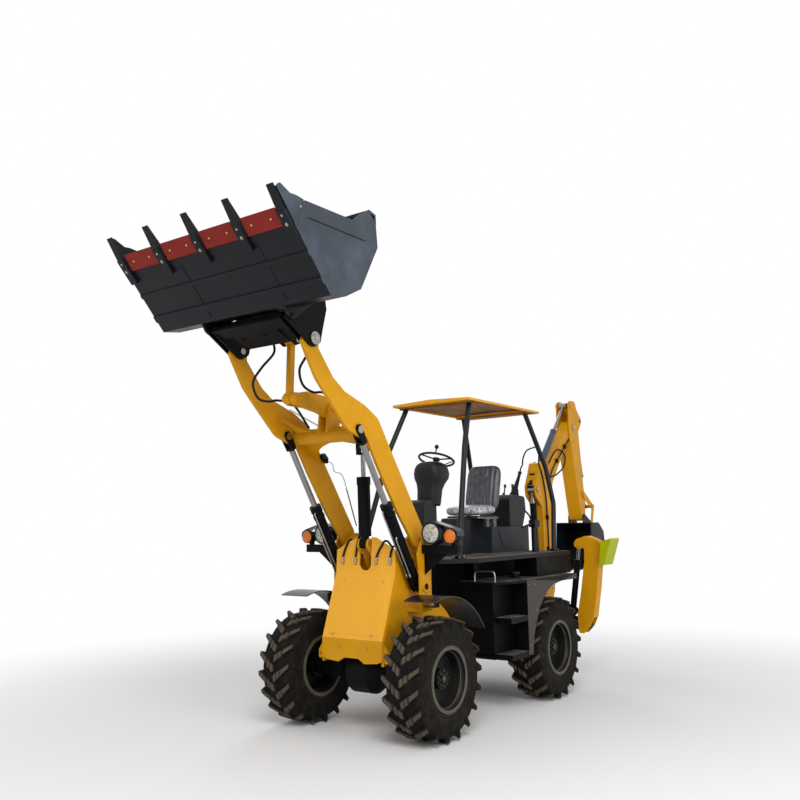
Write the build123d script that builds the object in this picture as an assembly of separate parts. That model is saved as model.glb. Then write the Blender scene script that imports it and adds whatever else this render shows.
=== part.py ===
from build123d import *
import math
import os

# An articulated backhoe loader, parked with its loader arms fully raised and its backhoe folded.
# Millimetres. +X is forward, +Y the machine's left, +Z up. Within this file every X is measured
# from the front axle; FRAME_X then moves the whole machine so that the origin lies on the ground
# under the middle of its length.
FRAME_X = 1397.0
FIT = 0.5
GAP = 6.0

# Wheels and axles
WHEELBASE = 2167.0
TRACK = 1436.0
TYRE_R = 525.0
TYRE_W = 372.0
CARCASS_R = 494.0
RIM_R = 262.0
FLANGE_R = 282.0
LUG_COUNT = 18
LUG_WIDTH = 46.0
LUG_SWEEP = 130.0
LUG_ROOT_R = 452.0
DISC_T = 14.0
DISC_Y = 22.0
HUB_R = 86.0
HUB_FACE = 96.0
CAP_R = 38.0
CAP_H = 16.0
HUB_BACK = -62.0
SPINDLE_R = 45.0
SPINDLE_END = 12.0
NUT_COUNT = 8
NUT_CIRCLE_R = 64.0
NUT_R = 12.0
NUT_H = 12.0
AXLE_Z = TYRE_R
AXLE_TUBE_R = 72.0
AXLE_FLANGE_R = 112.0
DIFF_R = 195.0
DIFF_W = 220.0
PAD_TOP = 618.0

# Steering pivot between the two frames
PIVOT_X = -1083.0
PIVOT_PIN_R = 30.0
LUG_T = 32.0
PIVOT_LUG_R = 80.0
PIVOT_LUGS = (610.0, 960.0)

# Front frame
INNER_Y = 330.0
PLATE_T = 25.0
OUTER_Y = 495.0
OUTER_T = 20.0
LIFT_PIVOT = (-250.0, 1700.0)
LIFT_BASE = (-200.0, 1283.0)
TILT_BASE = (30.0, 1677.0)
FRONT_PLATE_T = 16.0
FRONT_PLATE_HALF = 348.0
PIN_R = 28.0
EAR_X = 200.0
EAR_T = 24.0
EAR_Y = 380.0
EAR_Z = 680.0
EAR_BORE_R = 11.0

# Loader arms and the linkage that tips the bucket
ARM_Y = 420.0
ARM_T = 30.0
ARM_TIP = (1250.0, 3370.0)
LIFT_EYE = (660.0, 2667.0)
CROSS_TUBE = (528.0, 2660.0)
CROSS_TUBE_R = 70.0
ROCKER_PIVOT = (545.0, 2900.0)
ROCKER_FRONT = (1060.0, 2935.0)
ROCKER_REAR = (60.0, 2650.0)
LINK_TOP = (1040.0, 3450.0)
ROCKER_HALF = 30.0
WEB_CENTRE = (497.0, 2650.0)
WEB_SLOPE = 33.5
WEB_T = 24.0
WEB_REACH = 380.0
WEB_WAIST = 100.0
LIFT_BARREL_R = 50.0
LIFT_BARREL_END = 880.0
LIFT_ROD_R = 28.0
LIFT_ROD_START = 790.0
LIFT_BORE_START = 205.0
FORK_LONG = 140.0
FORK_CROTCH = 115.0
TILT_BARREL_R = 60.0
TILT_BARREL_END = 622.0
TILT_ROD_R = 22.0
TILT_ROD_START = 520.0
TILT_CROTCH = 120.0
TILT_LUG_Y = 44.0
TILT_BORE_START = 150.0

# Bucket and quick hitch
BUCKET_HALF = 970.0
BUCKET_SIDE_T = 20.0
BUCKET_WALL = 14.0
BUCKET_EDGE = (2040.0, 4010.0)
BUCKET_HEEL = (1640.0, 3560.0)
TOOTH_INSET = 43.0
TOOTH_HALF = 31.0
WEAR_CLEAR = 56.0
HITCH_INNER = (380.0, 397.0)
HITCH_OUTER = (443.0, 460.0)

# Rear body
DECK_TOP = 1515.0
DECK_T = 10.0
DECK_SKIRT = 42.0
DECK_HALF = 750.0
DECK_REAR = -2830.0
LEDGE_Z = 1270.0
LEDGE_T = 25.0
SIDE_Y = 880.0
TREAD_Y = 700.0
COVER_Y = 330.0
ARCH_GAP = 58.0

# Canopy
ROOF_Z = 3150.0
ROOF_FRONT = -1100.0
ROOF_REAR = -2690.0
ROOF_HALF = 491.0
ROOF_PAD_Z = ROOF_Z + 14
FRONT_RIB_X = -1262.0
REAR_RIB_X = -2440.0
RIB_DROP = 50.0
POST_R = 28.0

# Operator's station
WHEEL_CENTRE = (-1205.0, 0.0, 2525.0)
WHEEL_TILT = 19.0

# Backhoe
SWING_X = -3380.0
BOOM_FOOT = (-3680.0, 1040.0)
BOOM_CYL_BASE = (-3450.0, 1180.0)
BOOM_CYL_EYE = (-3400.0, 2250.0)
DIPPER_CYL_BASE = (-3620.0, 2545.0)
DIPPER_CYL_EYE = (-4430.0, 3431.0)
DIPPER_PIVOT = (-4520.0, 3130.0)
HOE_CYL_BASE = (-4745.0, 3240.0)
HOE_CYL_EYE = (-4995.0, 2045.0)
BELLCRANK = (-4725.0, 2220.0)
HOE_PIVOT = (-4720.0, 1900.0)
HOE_LINK = (-4930.0, 1800.0)
BOOM_HALF = 74.0
DIPPER_HALF = 95.0
DIPPER_WALL = 15.0
HOE_HALF = 260.0

# Stabilisers, one on each side behind the rear wheels
LEG_X = (-3230.0, -3090.0)
LEG_WALL = 20.0
LEG_PIVOT = (775.0, 650.0)
LEG_CYL_BASE = (600.0, 800.0)
LEG_CYL_EYE = (716.0, 1572.0)


def outline_face(corners):
    """A flat face from corners (u, v) or (u, v, radius); a radius rounds that corner."""
    turns = []
    for i, corner in enumerate(corners):
        point = Vector(corner[0], corner[1])
        radius = corner[2] if len(corner) > 2 else 0
        if radius == 0:
            turns.append((point, point, None))
            continue
        before = Vector(*corners[i - 1][:2])
        after = Vector(*corners[(i + 1) % len(corners)][:2])
        back = (before - point).normalized()
        ahead = (after - point).normalized()
        half = math.radians(back.get_angle(ahead)) / 2
        cut = radius / math.tan(half)
        inward = (back + ahead).normalized()
        centre = point + inward * (radius / math.sin(half))
        turns.append((point + back * cut, point + ahead * cut, centre - inward * radius))
    edges = []
    for i, (enter, leave, middle) in enumerate(turns):
        if middle is not None:
            edges.append(ThreePointArc(enter, middle, leave))
        follow = turns[(i + 1) % len(turns)][0]
        if (follow - leave).length > 0.001:
            edges.append(Line(leave, follow))
    return make_face(edges)


def side_plate(corners, y0, y1):
    """A piece whose outline (x, z) is seen from the side and which fills y0 to y1."""
    solid = extrude(outline_face(corners), amount=y1 - y0, dir=(0, 0, 1))
    return Plane.XZ.offset(-y1).location * solid


def front_slab(corners, x0, x1):
    """A piece whose outline (y, z) is seen from the front and which fills x0 to x1."""
    solid = extrude(outline_face(corners), amount=x1 - x0, dir=(0, 0, 1))
    return Plane.YZ.offset(x0).location * solid


def flat_plate(corners, z0, z1):
    """A piece whose outline (x, y) is seen from above and which fills z0 to z1."""
    return Pos(0, 0, z0) * extrude(outline_face(corners), amount=z1 - z0, dir=(0, 0, 1))


def block(x0, x1, y0, y1, z0, z1):
    """A plain box between two corners."""
    middle = Pos((x0 + x1) / 2, (y0 + y1) / 2, (z0 + z1) / 2)
    return middle * Box(x1 - x0, y1 - y0, z1 - z0)


def rod(start, end, radius):
    """A round bar from one point to another."""
    start = Vector(*start)
    run = Vector(*end) - start
    seat = Plane(origin=start, z_dir=run).location
    return seat * Cylinder(radius, run.length, align=(Align.CENTER, Align.CENTER, Align.MIN))


def cross_pin(place, radius, y0, y1):
    """A round bar across the machine at (x, z), from y0 to y1."""
    return rod((place[0], y0, place[1]), (place[0], y1, place[1]), radius)


def along(start, end, distance):
    """The (x, z) point at a distance from start towards end."""
    span = math.dist(start, end)
    share = distance / span
    return (start[0] + (end[0] - start[0]) * share, start[1] + (end[1] - start[1]) * share)


def at_y(place, y):
    """The 3-D point over (x, z) at y."""
    return (place[0], y, place[1])


def cylinder_rod(base, eye, y, start, end, radius):
    """A bar along the line from base to eye, between two distances from base."""
    return rod(at_y(along(base, eye, start), y), at_y(along(base, eye, end), y), radius)


def both_sides(shape):
    """The shape and its mirror image on the other side of the machine."""
    return shape + mirror(shape, about=Plane.XZ)


def turned_edge(points, thickness):
    """The closed outline of a sheet that follows points, thickened to its left."""
    inner = []
    for i, point in enumerate(points):
        here = Vector(point[0], point[1])
        before = Vector(*points[max(i - 1, 0)][:2])
        after = Vector(*points[min(i + 1, len(points) - 1)][:2])
        steps = [v.normalized() for v in (here - before, after - here) if v.length > 0]
        sides = [Vector(-v.Y, v.X) for v in steps]
        total = sides[0] + sides[-1]
        normal = total.normalized()
        reach = thickness / normal.dot(sides[0])
        place = here + normal * reach
        radius = point[2] if len(point) > 2 else 0
        tighter = max(radius - thickness, 0)
        inner.append((place.X, place.Y, tighter))
    return [tuple(p) for p in points] + inner[::-1]


def save(name, shape):
    """Writes one piece in the machine's own frame."""
    export_step(Pos(FRAME_X, 0, 0) * shape, f"parts/{name}.step")


def tyre():
    """A tractor-pattern tyre about the Y axis: a carcass with angled lugs that meet in a V."""
    half = TYRE_W / 2
    carcass = outline_face([
        (-150, RIM_R + FIT), (150, RIM_R + FIT), (half - 8, 350), (half - 12, 440),
        (half - 28, 476), (70, CARCASS_R), (-70, CARCASS_R), (28 - half, 476),
        (12 - half, 440), (8 - half, 350)])
    body = revolve(Plane.YZ.location * carcass, axis=Axis.Y)
    lean = LUG_SWEEP / 2
    wide = LUG_WIDTH / 2
    lug_top = math.sqrt(TYRE_R ** 2 - (lean + wide) ** 2)
    lug = extrude(outline_face([
        (-lean - wide, 6), (-lean + wide, 6), (lean + wide, half), (lean - wide, half)]),
        amount=lug_top - LUG_ROOT_R, dir=(0, 0, 1))
    lug = Pos(0, 0, LUG_ROOT_R) * lug
    other = mirror(lug, about=Plane.XZ)
    pitch = 360 / LUG_COUNT
    lugs = []
    for number in range(LUG_COUNT):
        lugs.append(Rot(0, number * pitch, 0) * lug)
        lugs.append(Rot(0, (number + 0.5) * pitch, 0) * other)
    return body.fuse(*lugs)


def rim():
    """A dished rim about the Y axis with its hub, nuts and cap; its outer face looks to +Y."""
    section = outline_face([
        (-173, FLANGE_R), (-173, RIM_R - 12), (-150, RIM_R - 12), (-120, 236), (120, 236),
        (150, RIM_R - 12), (173, RIM_R - 12), (173, FLANGE_R), (163, FLANGE_R),
        (155, RIM_R), (-155, RIM_R), (-163, FLANGE_R)])
    ring = revolve(Plane.YZ.location * section, axis=Axis.Y)
    disc = rod((0, DISC_Y, 0), (0, DISC_Y + DISC_T, 0), 240)
    hub = rod((0, HUB_BACK, 0), (0, HUB_FACE, 0), HUB_R)
    hub += rod((0, HUB_FACE, 0), (0, HUB_FACE + CAP_H, 0), CAP_R)
    wheel = ring + disc + hub - rod((0, HUB_BACK - 1, 0), (0, SPINDLE_END, 0), SPINDLE_R + 1)
    for number in range(NUT_COUNT):
        nut = Pos(0, 0, NUT_CIRCLE_R) * extrude(
            Plane.XZ.location * RegularPolygon(NUT_R, 6), amount=NUT_H)
        nut = Pos(0, HUB_FACE + NUT_H, 0) * nut
        wheel += Rot(0, number * 360 / NUT_COUNT, 0) * nut
    return wheel


def wheels():
    """Four wheels: a tyre and a rim each."""
    tyre_shape = tyre()
    rim_shape = rim()
    for end, x in (("front", 0.0), ("rear", -WHEELBASE)):
        for side, sign in (("left", 1), ("right", -1)):
            place = Pos(x, sign * TRACK / 2, AXLE_Z)
            turn = Rot(0, 0, 0 if sign > 0 else 180)
            save(f"tyre_{end}_{side}", place * turn * tyre_shape)
            save(f"rim_{end}_{side}", place * turn * rim_shape)


def axle(x):
    """A drive axle: tapered centre housing, tubes, end flanges, spindles and frame pads."""
    centre_y = TRACK / 2
    tube_end = centre_y + HUB_BACK - GAP
    profile = outline_face([
        (0, 0), (centre_y + SPINDLE_END - GAP, 0), (centre_y + SPINDLE_END - GAP, SPINDLE_R),
        (tube_end, SPINDLE_R), (tube_end, AXLE_FLANGE_R), (tube_end - 50, AXLE_FLANGE_R),
        (tube_end - 50, AXLE_TUBE_R), (260, AXLE_TUBE_R + 10), (DIFF_W / 2, DIFF_R),
        (0, DIFF_R)])
    half = revolve(Plane.YZ.location * profile, axis=Axis.Y)
    housing = both_sides(half)
    nose = rod((0, 0, 0), (230, 0, 0), 95) + rod((230, 0, 0), (260, 0, 0), 60)
    pads = both_sides(block(-85, 85, 250, 375, 20, PAD_TOP - AXLE_Z))
    facing = nose if x < 0 else mirror(nose, about=Plane.YZ)
    return Pos(x, 0, AXLE_Z) * (housing + facing + pads)


def pivot_lug(reach, z0, half, pin_hole):
    """A hinge lug seen from above: wide at x = reach, rounded at the steering pivot."""
    plate = flat_plate([(reach, -half), (PIVOT_X, -PIVOT_LUG_R), (PIVOT_X, PIVOT_LUG_R),
                        (reach, half)], z0, z0 + LUG_T)
    plate += rod((PIVOT_X, 0, z0), (PIVOT_X, 0, z0 + LUG_T), PIVOT_LUG_R)
    return plate - rod((PIVOT_X, 0, z0 - 1), (PIVOT_X, 0, z0 + LUG_T + 1), pin_hole)


def front_frame():
    """The welded front frame: inner plates that rise into the towers, and outer tower plates."""
    px, pz = LIFT_PIVOT
    bx, bz = LIFT_BASE
    inner = side_plate([
        (px + 84, pz + 30, 60), (px, pz + 84, 60), (px - 84, pz + 30, 60), (px - 60, 1500),
        (-420, 1240, 60), (-860, 1010), (-860, PAD_TOP), (236, PAD_TOP), (226, 830),
        (24, 1400), (4, 1600)], INNER_Y, INNER_Y + PLATE_T)
    outer = side_plate([
        (px + 82, pz + 20, 60), (px, pz + 82, 60), (px - 82, pz + 20, 60), (px - 56, 1500),
        (bx - 100, 1400), (bx - 100, 1060), (bx + 72, 1060), (bx + 78, 1400),
        (px + 160, 1580)], OUTER_Y, OUTER_Y + OUTER_T)
    floor = block(bx - 100, bx + 72, INNER_Y + PLATE_T, OUTER_Y, 1060, 1080)
    rear = block(px - 66, px - 54, INNER_Y + PLATE_T, OUTER_Y, 1420, 1590)
    side = inner + outer + floor + rear
    for place in (LIFT_PIVOT, LIFT_BASE):
        side += cross_pin(place, 52, OUTER_Y + OUTER_T, OUTER_Y + OUTER_T + 12)
        side -= cross_pin(place, PIN_R + FIT, INNER_Y - 20, OUTER_Y + OUTER_T + 20)
    frame = both_sides(side)
    frame += block(-860, -240, -INNER_Y, INNER_Y, PAD_TOP, PAD_TOP + 20)
    frame += block(-260, -240, -INNER_Y, INNER_Y, PAD_TOP + 20, 1100)
    frame += block(-860, -840, -INNER_Y, INNER_Y, PAD_TOP + 20, 1010)
    frame += side_plate([(-840, 990), (-430, 1205), (-430, 1225), (-840, 1010)],
                        -INNER_Y, INNER_Y)
    frame += block(-430, -410, -INNER_Y, INNER_Y, 1100, 1225)
    cx, cz = TILT_BASE
    frame += block(-140, -120, -INNER_Y, INNER_Y, 1120, 1540)
    lug = side_plate([(-130, 1300), (cx - 50, 1560), (cx + 52, cz - 30, 30), (cx + 34, cz + 46, 30),
                      (cx - 45, cz + 46, 30), (-130, 1540)], TILT_LUG_Y, TILT_LUG_Y + 16)
    lug -= cross_pin(TILT_BASE, PIN_R + FIT, 30, 90)
    frame += both_sides(lug)
    for z0 in (PIVOT_LUGS[0] + LUG_T + GAP, PIVOT_LUGS[1] - LUG_T - GAP):
        frame += pivot_lug(-850, z0, 230, PIVOT_PIN_R + FIT)
    outer_y = INNER_Y + PLATE_T
    ear = front_slab([(outer_y - 5, 640), (outer_y + 52, 640, 20), (outer_y + 52, 716, 20),
                      (outer_y - 5, 800)], EAR_X, EAR_X + EAR_T)
    ear -= rod((EAR_X - 5, EAR_Y, EAR_Z), (EAR_X + EAR_T + 5, EAR_Y, EAR_Z), EAR_BORE_R)
    return frame + both_sides(ear)


def front_panel():
    """The sloping cover on the frame's nose, with a bend and a notch for the tilt cylinder."""
    front = [(4, 1735), (24, 1400), (226, 830), (236, 628)]
    sheet = side_plate(turned_edge(front, FRONT_PLATE_T), -FRONT_PLATE_HALF, FRONT_PLATE_HALF)
    notch = 70
    top = front_slab([(-400, 1590), (-110, 1735), (-notch, 1735), (-notch, 1430, 60),
                      (notch, 1430, 60), (notch, 1735), (110, 1735), (400, 1590), (400, 1900),
                      (-400, 1900)], -80, 300)
    low = front_slab([(-400, 560), (400, 560), (400, 690), (348, 660), (290, 640), (150, 628),
                      (80, 668), (-80, 668), (-150, 628), (-290, 640), (-348, 660), (-400, 690)],
                     100, 330)
    return sheet - top - low


def fender():
    """A front mudguard: a thin arc over the tyre with its bracket to the tower."""
    outer_r = 700.0
    start = math.radians(72)
    end = math.radians(148)
    middle = (start + end) / 2

    def on_arc(radius, angle):
        return (radius * math.cos(angle), radius * math.sin(angle))

    inner_r = outer_r - 8
    edges = [
        ThreePointArc(on_arc(outer_r, start), on_arc(outer_r, middle), on_arc(outer_r, end)),
        Line(on_arc(outer_r, end), on_arc(inner_r, end)),
        ThreePointArc(on_arc(inner_r, end), on_arc(inner_r, middle), on_arc(inner_r, start)),
        Line(on_arc(inner_r, start), on_arc(outer_r, start))]
    arc = extrude(make_face(edges), amount=335, dir=(0, 0, 1))
    arc = Pos(0, 0, AXLE_Z) * (Plane.XZ.offset(-900).location * arc)
    bracket = block(-240, -160, OUTER_Y + OUTER_T, 640, 1100, 1112)
    bracket += block(-240, -160, 628, 640, 1112, AXLE_Z + 661)
    return arc + bracket


def head_lamp():
    """A round head lamp and a turn lamp on their bar, with the brace that holds the bar."""
    bar = block(-204, -150, OUTER_Y + OUTER_T, 905, 1584, 1660)
    bar += block(-204, -150, 628, 672, 1660, 1690) + block(-200, -160, 838, 872, 1660, 1700)
    brace = front_slab([(OUTER_Y + OUTER_T, 1584), (770, 1584), (OUTER_Y + OUTER_T, 1390)], -204, -192)
    lamp = rod((-225, 650, 1766), (-112, 650, 1766), 100) + rod((-112, 650, 1766), (-100, 650, 1766), 88)
    turn = rod((-205, 855, 1737), (-118, 855, 1737), 52) + rod((-118, 855, 1737), (-98, 855, 1737), 62)
    return bar + brace + lamp + turn


def loader_arm():
    """One plate arm, bent at the cross tube, bored for its pivot and for the bucket's pin."""
    plate = side_plate([
        (-335, 1700, 60), (-300, 1800, 60), (-250, 1870), (190, 2510, 200), (380, 2790, 160),
        (570, 2890, 200), (840, 2980), (990, 3080, 100), (1175, 3300), (1178, 3395, 60),
        (1240, 3450, 60), (1330, 3425, 60), (1378, 3338, 20), (1320, 3240), (1200, 3050, 200),
        (1080, 2930),
        (800, 2660, 200), (620, 2600), (545, 2612), (385, 2362), (100, 1960), (-70, 1760),
        (-165, 1640, 50), (-270, 1612, 60)], ARM_Y - ARM_T / 2, ARM_Y + ARM_T / 2)
    for place in (LIFT_PIVOT, ARM_TIP):
        plate -= cross_pin(place, PIN_R + FIT, ARM_Y - 40, ARM_Y + 40)
    return plate


def cross_web():
    """The plate through the cross tube that flares out to the left arm, cut round the rod's fork."""
    inner_y = ARM_Y - ARM_T / 2
    waist = CROSS_TUBE_R - 4
    edges = [
        Line((60, -waist), (150, -WEB_WAIST)),
        ThreePointArc((150, -WEB_WAIST), (300, -190), (inner_y, -WEB_REACH)),
        Line((inner_y, -WEB_REACH), (inner_y, WEB_REACH)),
        ThreePointArc((inner_y, WEB_REACH), (300, 190), (150, WEB_WAIST)),
        Line((150, WEB_WAIST), (60, waist)),
        Line((60, waist), (60, -waist))]
    slope = math.radians(WEB_SLOPE)
    seat = Plane(origin=(WEB_CENTRE[0], 0, WEB_CENTRE[1]), x_dir=(0, 1, 0),
                 z_dir=(math.sin(slope), 0, -math.cos(slope)))
    web = seat.location * extrude(make_face(edges), amount=WEB_T / 2, both=True)
    return web - cross_pin(LIFT_EYE, 112, inner_y - 45, inner_y + 5)


def loader_arms():
    """Both arms with the cross tube, its flared plates and the bracket that carries the rocker."""
    inner_y = ARM_Y - ARM_T / 2
    arms = both_sides(loader_arm())
    arms += cross_pin(CROSS_TUBE, CROSS_TUBE_R, -inner_y, inner_y)
    arms += both_sides(cross_web())
    rx, rz = ROCKER_PIVOT
    cheek = side_plate([(rx - 95, CROSS_TUBE[1] + 20), (rx + 95, CROSS_TUBE[1] + 20),
                        (rx + 62, rz + 20, 50), (rx, rz + 62, 50), (rx - 62, rz + 20, 50)],
                       ROCKER_HALF + GAP, ROCKER_HALF + GAP + 22)
    cheek += cross_pin(ROCKER_PIVOT, 40, ROCKER_HALF + GAP + 22, ROCKER_HALF + GAP + 32)
    cheek -= cross_pin(ROCKER_PIVOT, PIN_R + FIT, 20, 80)
    arms += both_sides(cheek)
    return arms


def lift_barrel():
    """A lift cylinder's barrel with the pin it turns on, between the tower's plates."""
    barrel = cylinder_rod(LIFT_BASE, LIFT_EYE, ARM_Y, 40, LIFT_BARREL_END, LIFT_BARREL_R)
    barrel += cylinder_rod(LIFT_BASE, LIFT_EYE, ARM_Y, LIFT_BARREL_END - 60, LIFT_BARREL_END,
                           LIFT_BARREL_R + 6)
    barrel += cross_pin(LIFT_BASE, 46, ARM_Y - 38, ARM_Y + 38)
    barrel += cross_pin(LIFT_BASE, PIN_R, INNER_Y - 10, OUTER_Y + OUTER_T + 16)
    return barrel - cylinder_rod(LIFT_BASE, LIFT_EYE, ARM_Y, LIFT_BORE_START,
                                 LIFT_BARREL_END + 5, LIFT_ROD_R + FIT)


def lift_rod():
    """A lift cylinder's rod; its fork straddles the arm and has pin heads outside only."""
    length = math.dist(LIFT_BASE, LIFT_EYE)
    bar = cylinder_rod(LIFT_BASE, LIFT_EYE, ARM_Y, LIFT_ROD_START, length - FORK_CROTCH,
                       LIFT_ROD_R)
    ux = (LIFT_EYE[0] - LIFT_BASE[0]) / length
    uz = (LIFT_EYE[1] - LIFT_BASE[1]) / length
    eye = Vector(LIFT_EYE[0], LIFT_EYE[1])
    ahead = Vector(ux, uz)
    across = Vector(-uz, ux)

    def corner(back, side, radius=0):
        place = eye - ahead * back + across * side
        return (place.X, place.Y, radius)

    half = ARM_T / 2 + GAP
    outline = [corner(FORK_LONG, -30), corner(-48, -38, 34), corner(-48, 38, 34),
               corner(FORK_LONG, 30)]
    cheek = side_plate(outline, ARM_Y + half, ARM_Y + half + 16)
    cheek += side_plate(outline, ARM_Y - half - 16, ARM_Y - half)
    crotch = side_plate([corner(FORK_LONG, -30), corner(FORK_CROTCH, -30),
                         corner(FORK_CROTCH, 30), corner(FORK_LONG, 30)],
                        ARM_Y - half - 16, ARM_Y + half + 16)
    heads = cross_pin(LIFT_EYE, 34, ARM_Y + half + 16, ARM_Y + half + 24)
    heads += cross_pin(LIFT_EYE, 34, ARM_Y - half - 24, ARM_Y - half - 16)
    return bar + cheek + crotch + heads


def rocker():
    """The lever on the cross tube: the tilt cylinder pushes its rear end, a fork ends its front."""
    rx, rz = ROCKER_PIVOT
    fx, fz = ROCKER_FRONT
    gx, gz = ROCKER_REAR
    lever = side_plate([
        (fx - 128, fz - 50), (fx - 128, fz + 62), (890, 3020, 100), (rx + 40, rz + 100, 150),
        (380, 2890), (gx - 14, gz + 48, 38), (gx - 46, gz, 38), (gx - 6, gz - 48, 38),
        (360, 2790), (rx + 30, rz - 88, 100), (700, 2850)],
        -ROCKER_HALF, ROCKER_HALF)
    cheek = side_plate([
        (fx + 52, fz - 8, 42), (fx + 14, fz + 54, 42), (fx - 130, fz + 60), (fx - 210, fz + 30),
        (fx - 190, fz - 56), (fx - 16, fz - 54, 42)], ROCKER_HALF - 3, ROCKER_HALF + 19)
    cheek += cross_pin(ROCKER_FRONT, 36, ROCKER_HALF + 19, ROCKER_HALF + 27)
    lever -= cross_pin(ROCKER_PIVOT, PIN_R + FIT, -50, 50)
    lever += cross_pin(ROCKER_REAR, 42, -ROCKER_HALF - 4, ROCKER_HALF + 4)
    return lever + both_sides(cheek)


def tilt_link():
    """The link from the rocker's fork to the hitch: one flat bar with an eye at each end."""
    fx, fz = ROCKER_FRONT
    hx, hz = LINK_TOP
    half = ROCKER_HALF - 3 - GAP
    link = side_plate([(fx - 28, fz), (fx + 28, fz), (hx + 30, hz), (hx - 30, hz)], -half, half)
    link += cross_pin(ROCKER_FRONT, 44, -half, half)
    link += cross_pin(LINK_TOP, 48, -half - 22, half + 22)
    return link - cross_pin(LINK_TOP, PIN_R + FIT, -60, 60)


def tilt_barrel():
    """The tilt cylinder's barrel with its base eye on the front frame's pin."""
    base_half = TILT_LUG_Y - GAP
    barrel = cylinder_rod(TILT_BASE, ROCKER_REAR, 0, 66, TILT_BARREL_END, TILT_BARREL_R)
    barrel += cylinder_rod(TILT_BASE, ROCKER_REAR, 0, 30, 70, base_half)
    barrel += cylinder_rod(TILT_BASE, ROCKER_REAR, 0, TILT_BARREL_END - 75, TILT_BARREL_END,
                           TILT_BARREL_R + 6)
    barrel += cross_pin(TILT_BASE, 46, -base_half, base_half)
    barrel -= cross_pin(TILT_BASE, PIN_R + FIT, -60, 60)
    return barrel - cylinder_rod(TILT_BASE, ROCKER_REAR, 0, TILT_BORE_START,
                                 TILT_BARREL_END + 5, TILT_ROD_R + FIT)


def tilt_rod():
    """The tilt cylinder's rod; its long fork straddles the rocker's rear end."""
    length = math.dist(TILT_BASE, ROCKER_REAR)
    bar = cylinder_rod(TILT_BASE, ROCKER_REAR, 0, TILT_ROD_START, length - TILT_CROTCH, TILT_ROD_R)
    gx, gz = ROCKER_REAR
    y0 = ROCKER_HALF + 10
    bottom = gz - TILT_CROTCH - 22
    cheek = side_plate([(gx - 30, bottom), (gx + 30, bottom), (gx + 40, gz, 20),
                        (gx + 28, gz + 40, 25), (gx - 28, gz + 40, 25), (gx - 40, gz, 20)],
                       y0, y0 + 14)
    cheek += cross_pin(ROCKER_REAR, 30, y0 + 14, y0 + 22)
    fork = both_sides(cheek)
    return bar + fork + block(gx - 30, gx + 30, -y0 - 14, y0 + 14, bottom, gz - TILT_CROTCH)


def quick_hitch():
    """The black carrier between the arms and the bucket: four cheeks, cross plate and lock bar."""
    tx, tz = ARM_TIP
    hx, hz = LINK_TOP
    corners = [(tx - 74, tz - 24, 50), (tx + 6, tz - 76, 50), (tx + 60, tz - 60), (1592, 3486),
               (1578, 3528), (1262, 3655), (1214, 3742, 15), (1128, 3770, 25), (1102, 3640, 40),
               (tx - 92, tz + 60, 60)]
    cheeks = side_plate(corners, *HITCH_INNER) + side_plate(corners, *HITCH_OUTER)
    cheeks -= cross_pin(ARM_TIP, PIN_R + FIT, HITCH_INNER[0] - 10, HITCH_OUTER[1] + 10)
    hitch = both_sides(cheeks)
    spacer = side_plate([(1470, 3450), (1570, 3492), (1560, 3515), (1420, 3575), (1400, 3540)],
                        HITCH_INNER[1], HITCH_OUTER[0])
    hitch += both_sides(spacer)
    inner = HITCH_INNER[0]
    hitch += side_plate([(1316, 3358), (1480, 3435), (1470, 3457), (1306, 3380)], -250, 250)
    hitch += side_plate([(1480, 3435), (1590, 3486), (1580, 3508), (1470, 3457)], -inner, inner)
    hitch += side_plate([(1316, 3630), (1262, 3655), (1214, 3742), (1194, 3735), (1246, 3638),
                         (1308, 3610)], -inner, inner)
    lug = side_plate([(hx - 54, hz - 12, 40), (hx + 6, hz - 54, 40), (1210, 3470, 60),
                      (1316, 3612), (1262, 3648), (1214, 3735), (1120, 3640), (hx - 34, hz + 46, 40)],
                     60, 80)
    hitch += both_sides(lug)
    hitch -= cross_pin(LINK_TOP, PIN_R + FIT, -90, 90)
    lock = rod((1430, -250, 3510), (1430, 120, 3510), 34)
    lock += rod((1430, 120, 3510), (1430, 200, 3510), 20)
    stay = block(1412, 1448, -190, -150, 3408, 3510) + block(1412, 1448, 60, 100, 3408, 3510)
    latch = cross_pin((1545, 3508), 16, HITCH_OUTER[1] - 4, HITCH_OUTER[1] + 34)
    return hitch + lock + stay + both_sides(latch)


def bucket_rear_line():
    """The bucket's floor and back as seen from the side, from the edge round to the top."""
    return [(BUCKET_EDGE[0], BUCKET_EDGE[1]), (BUCKET_HEEL[0], BUCKET_HEEL[1], 70),
            (1463, 3588, 120), (1276, 3686, 220), (1056, 4080, 160), (1078, 4280, 40),
            (1160, 4350)]


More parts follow.
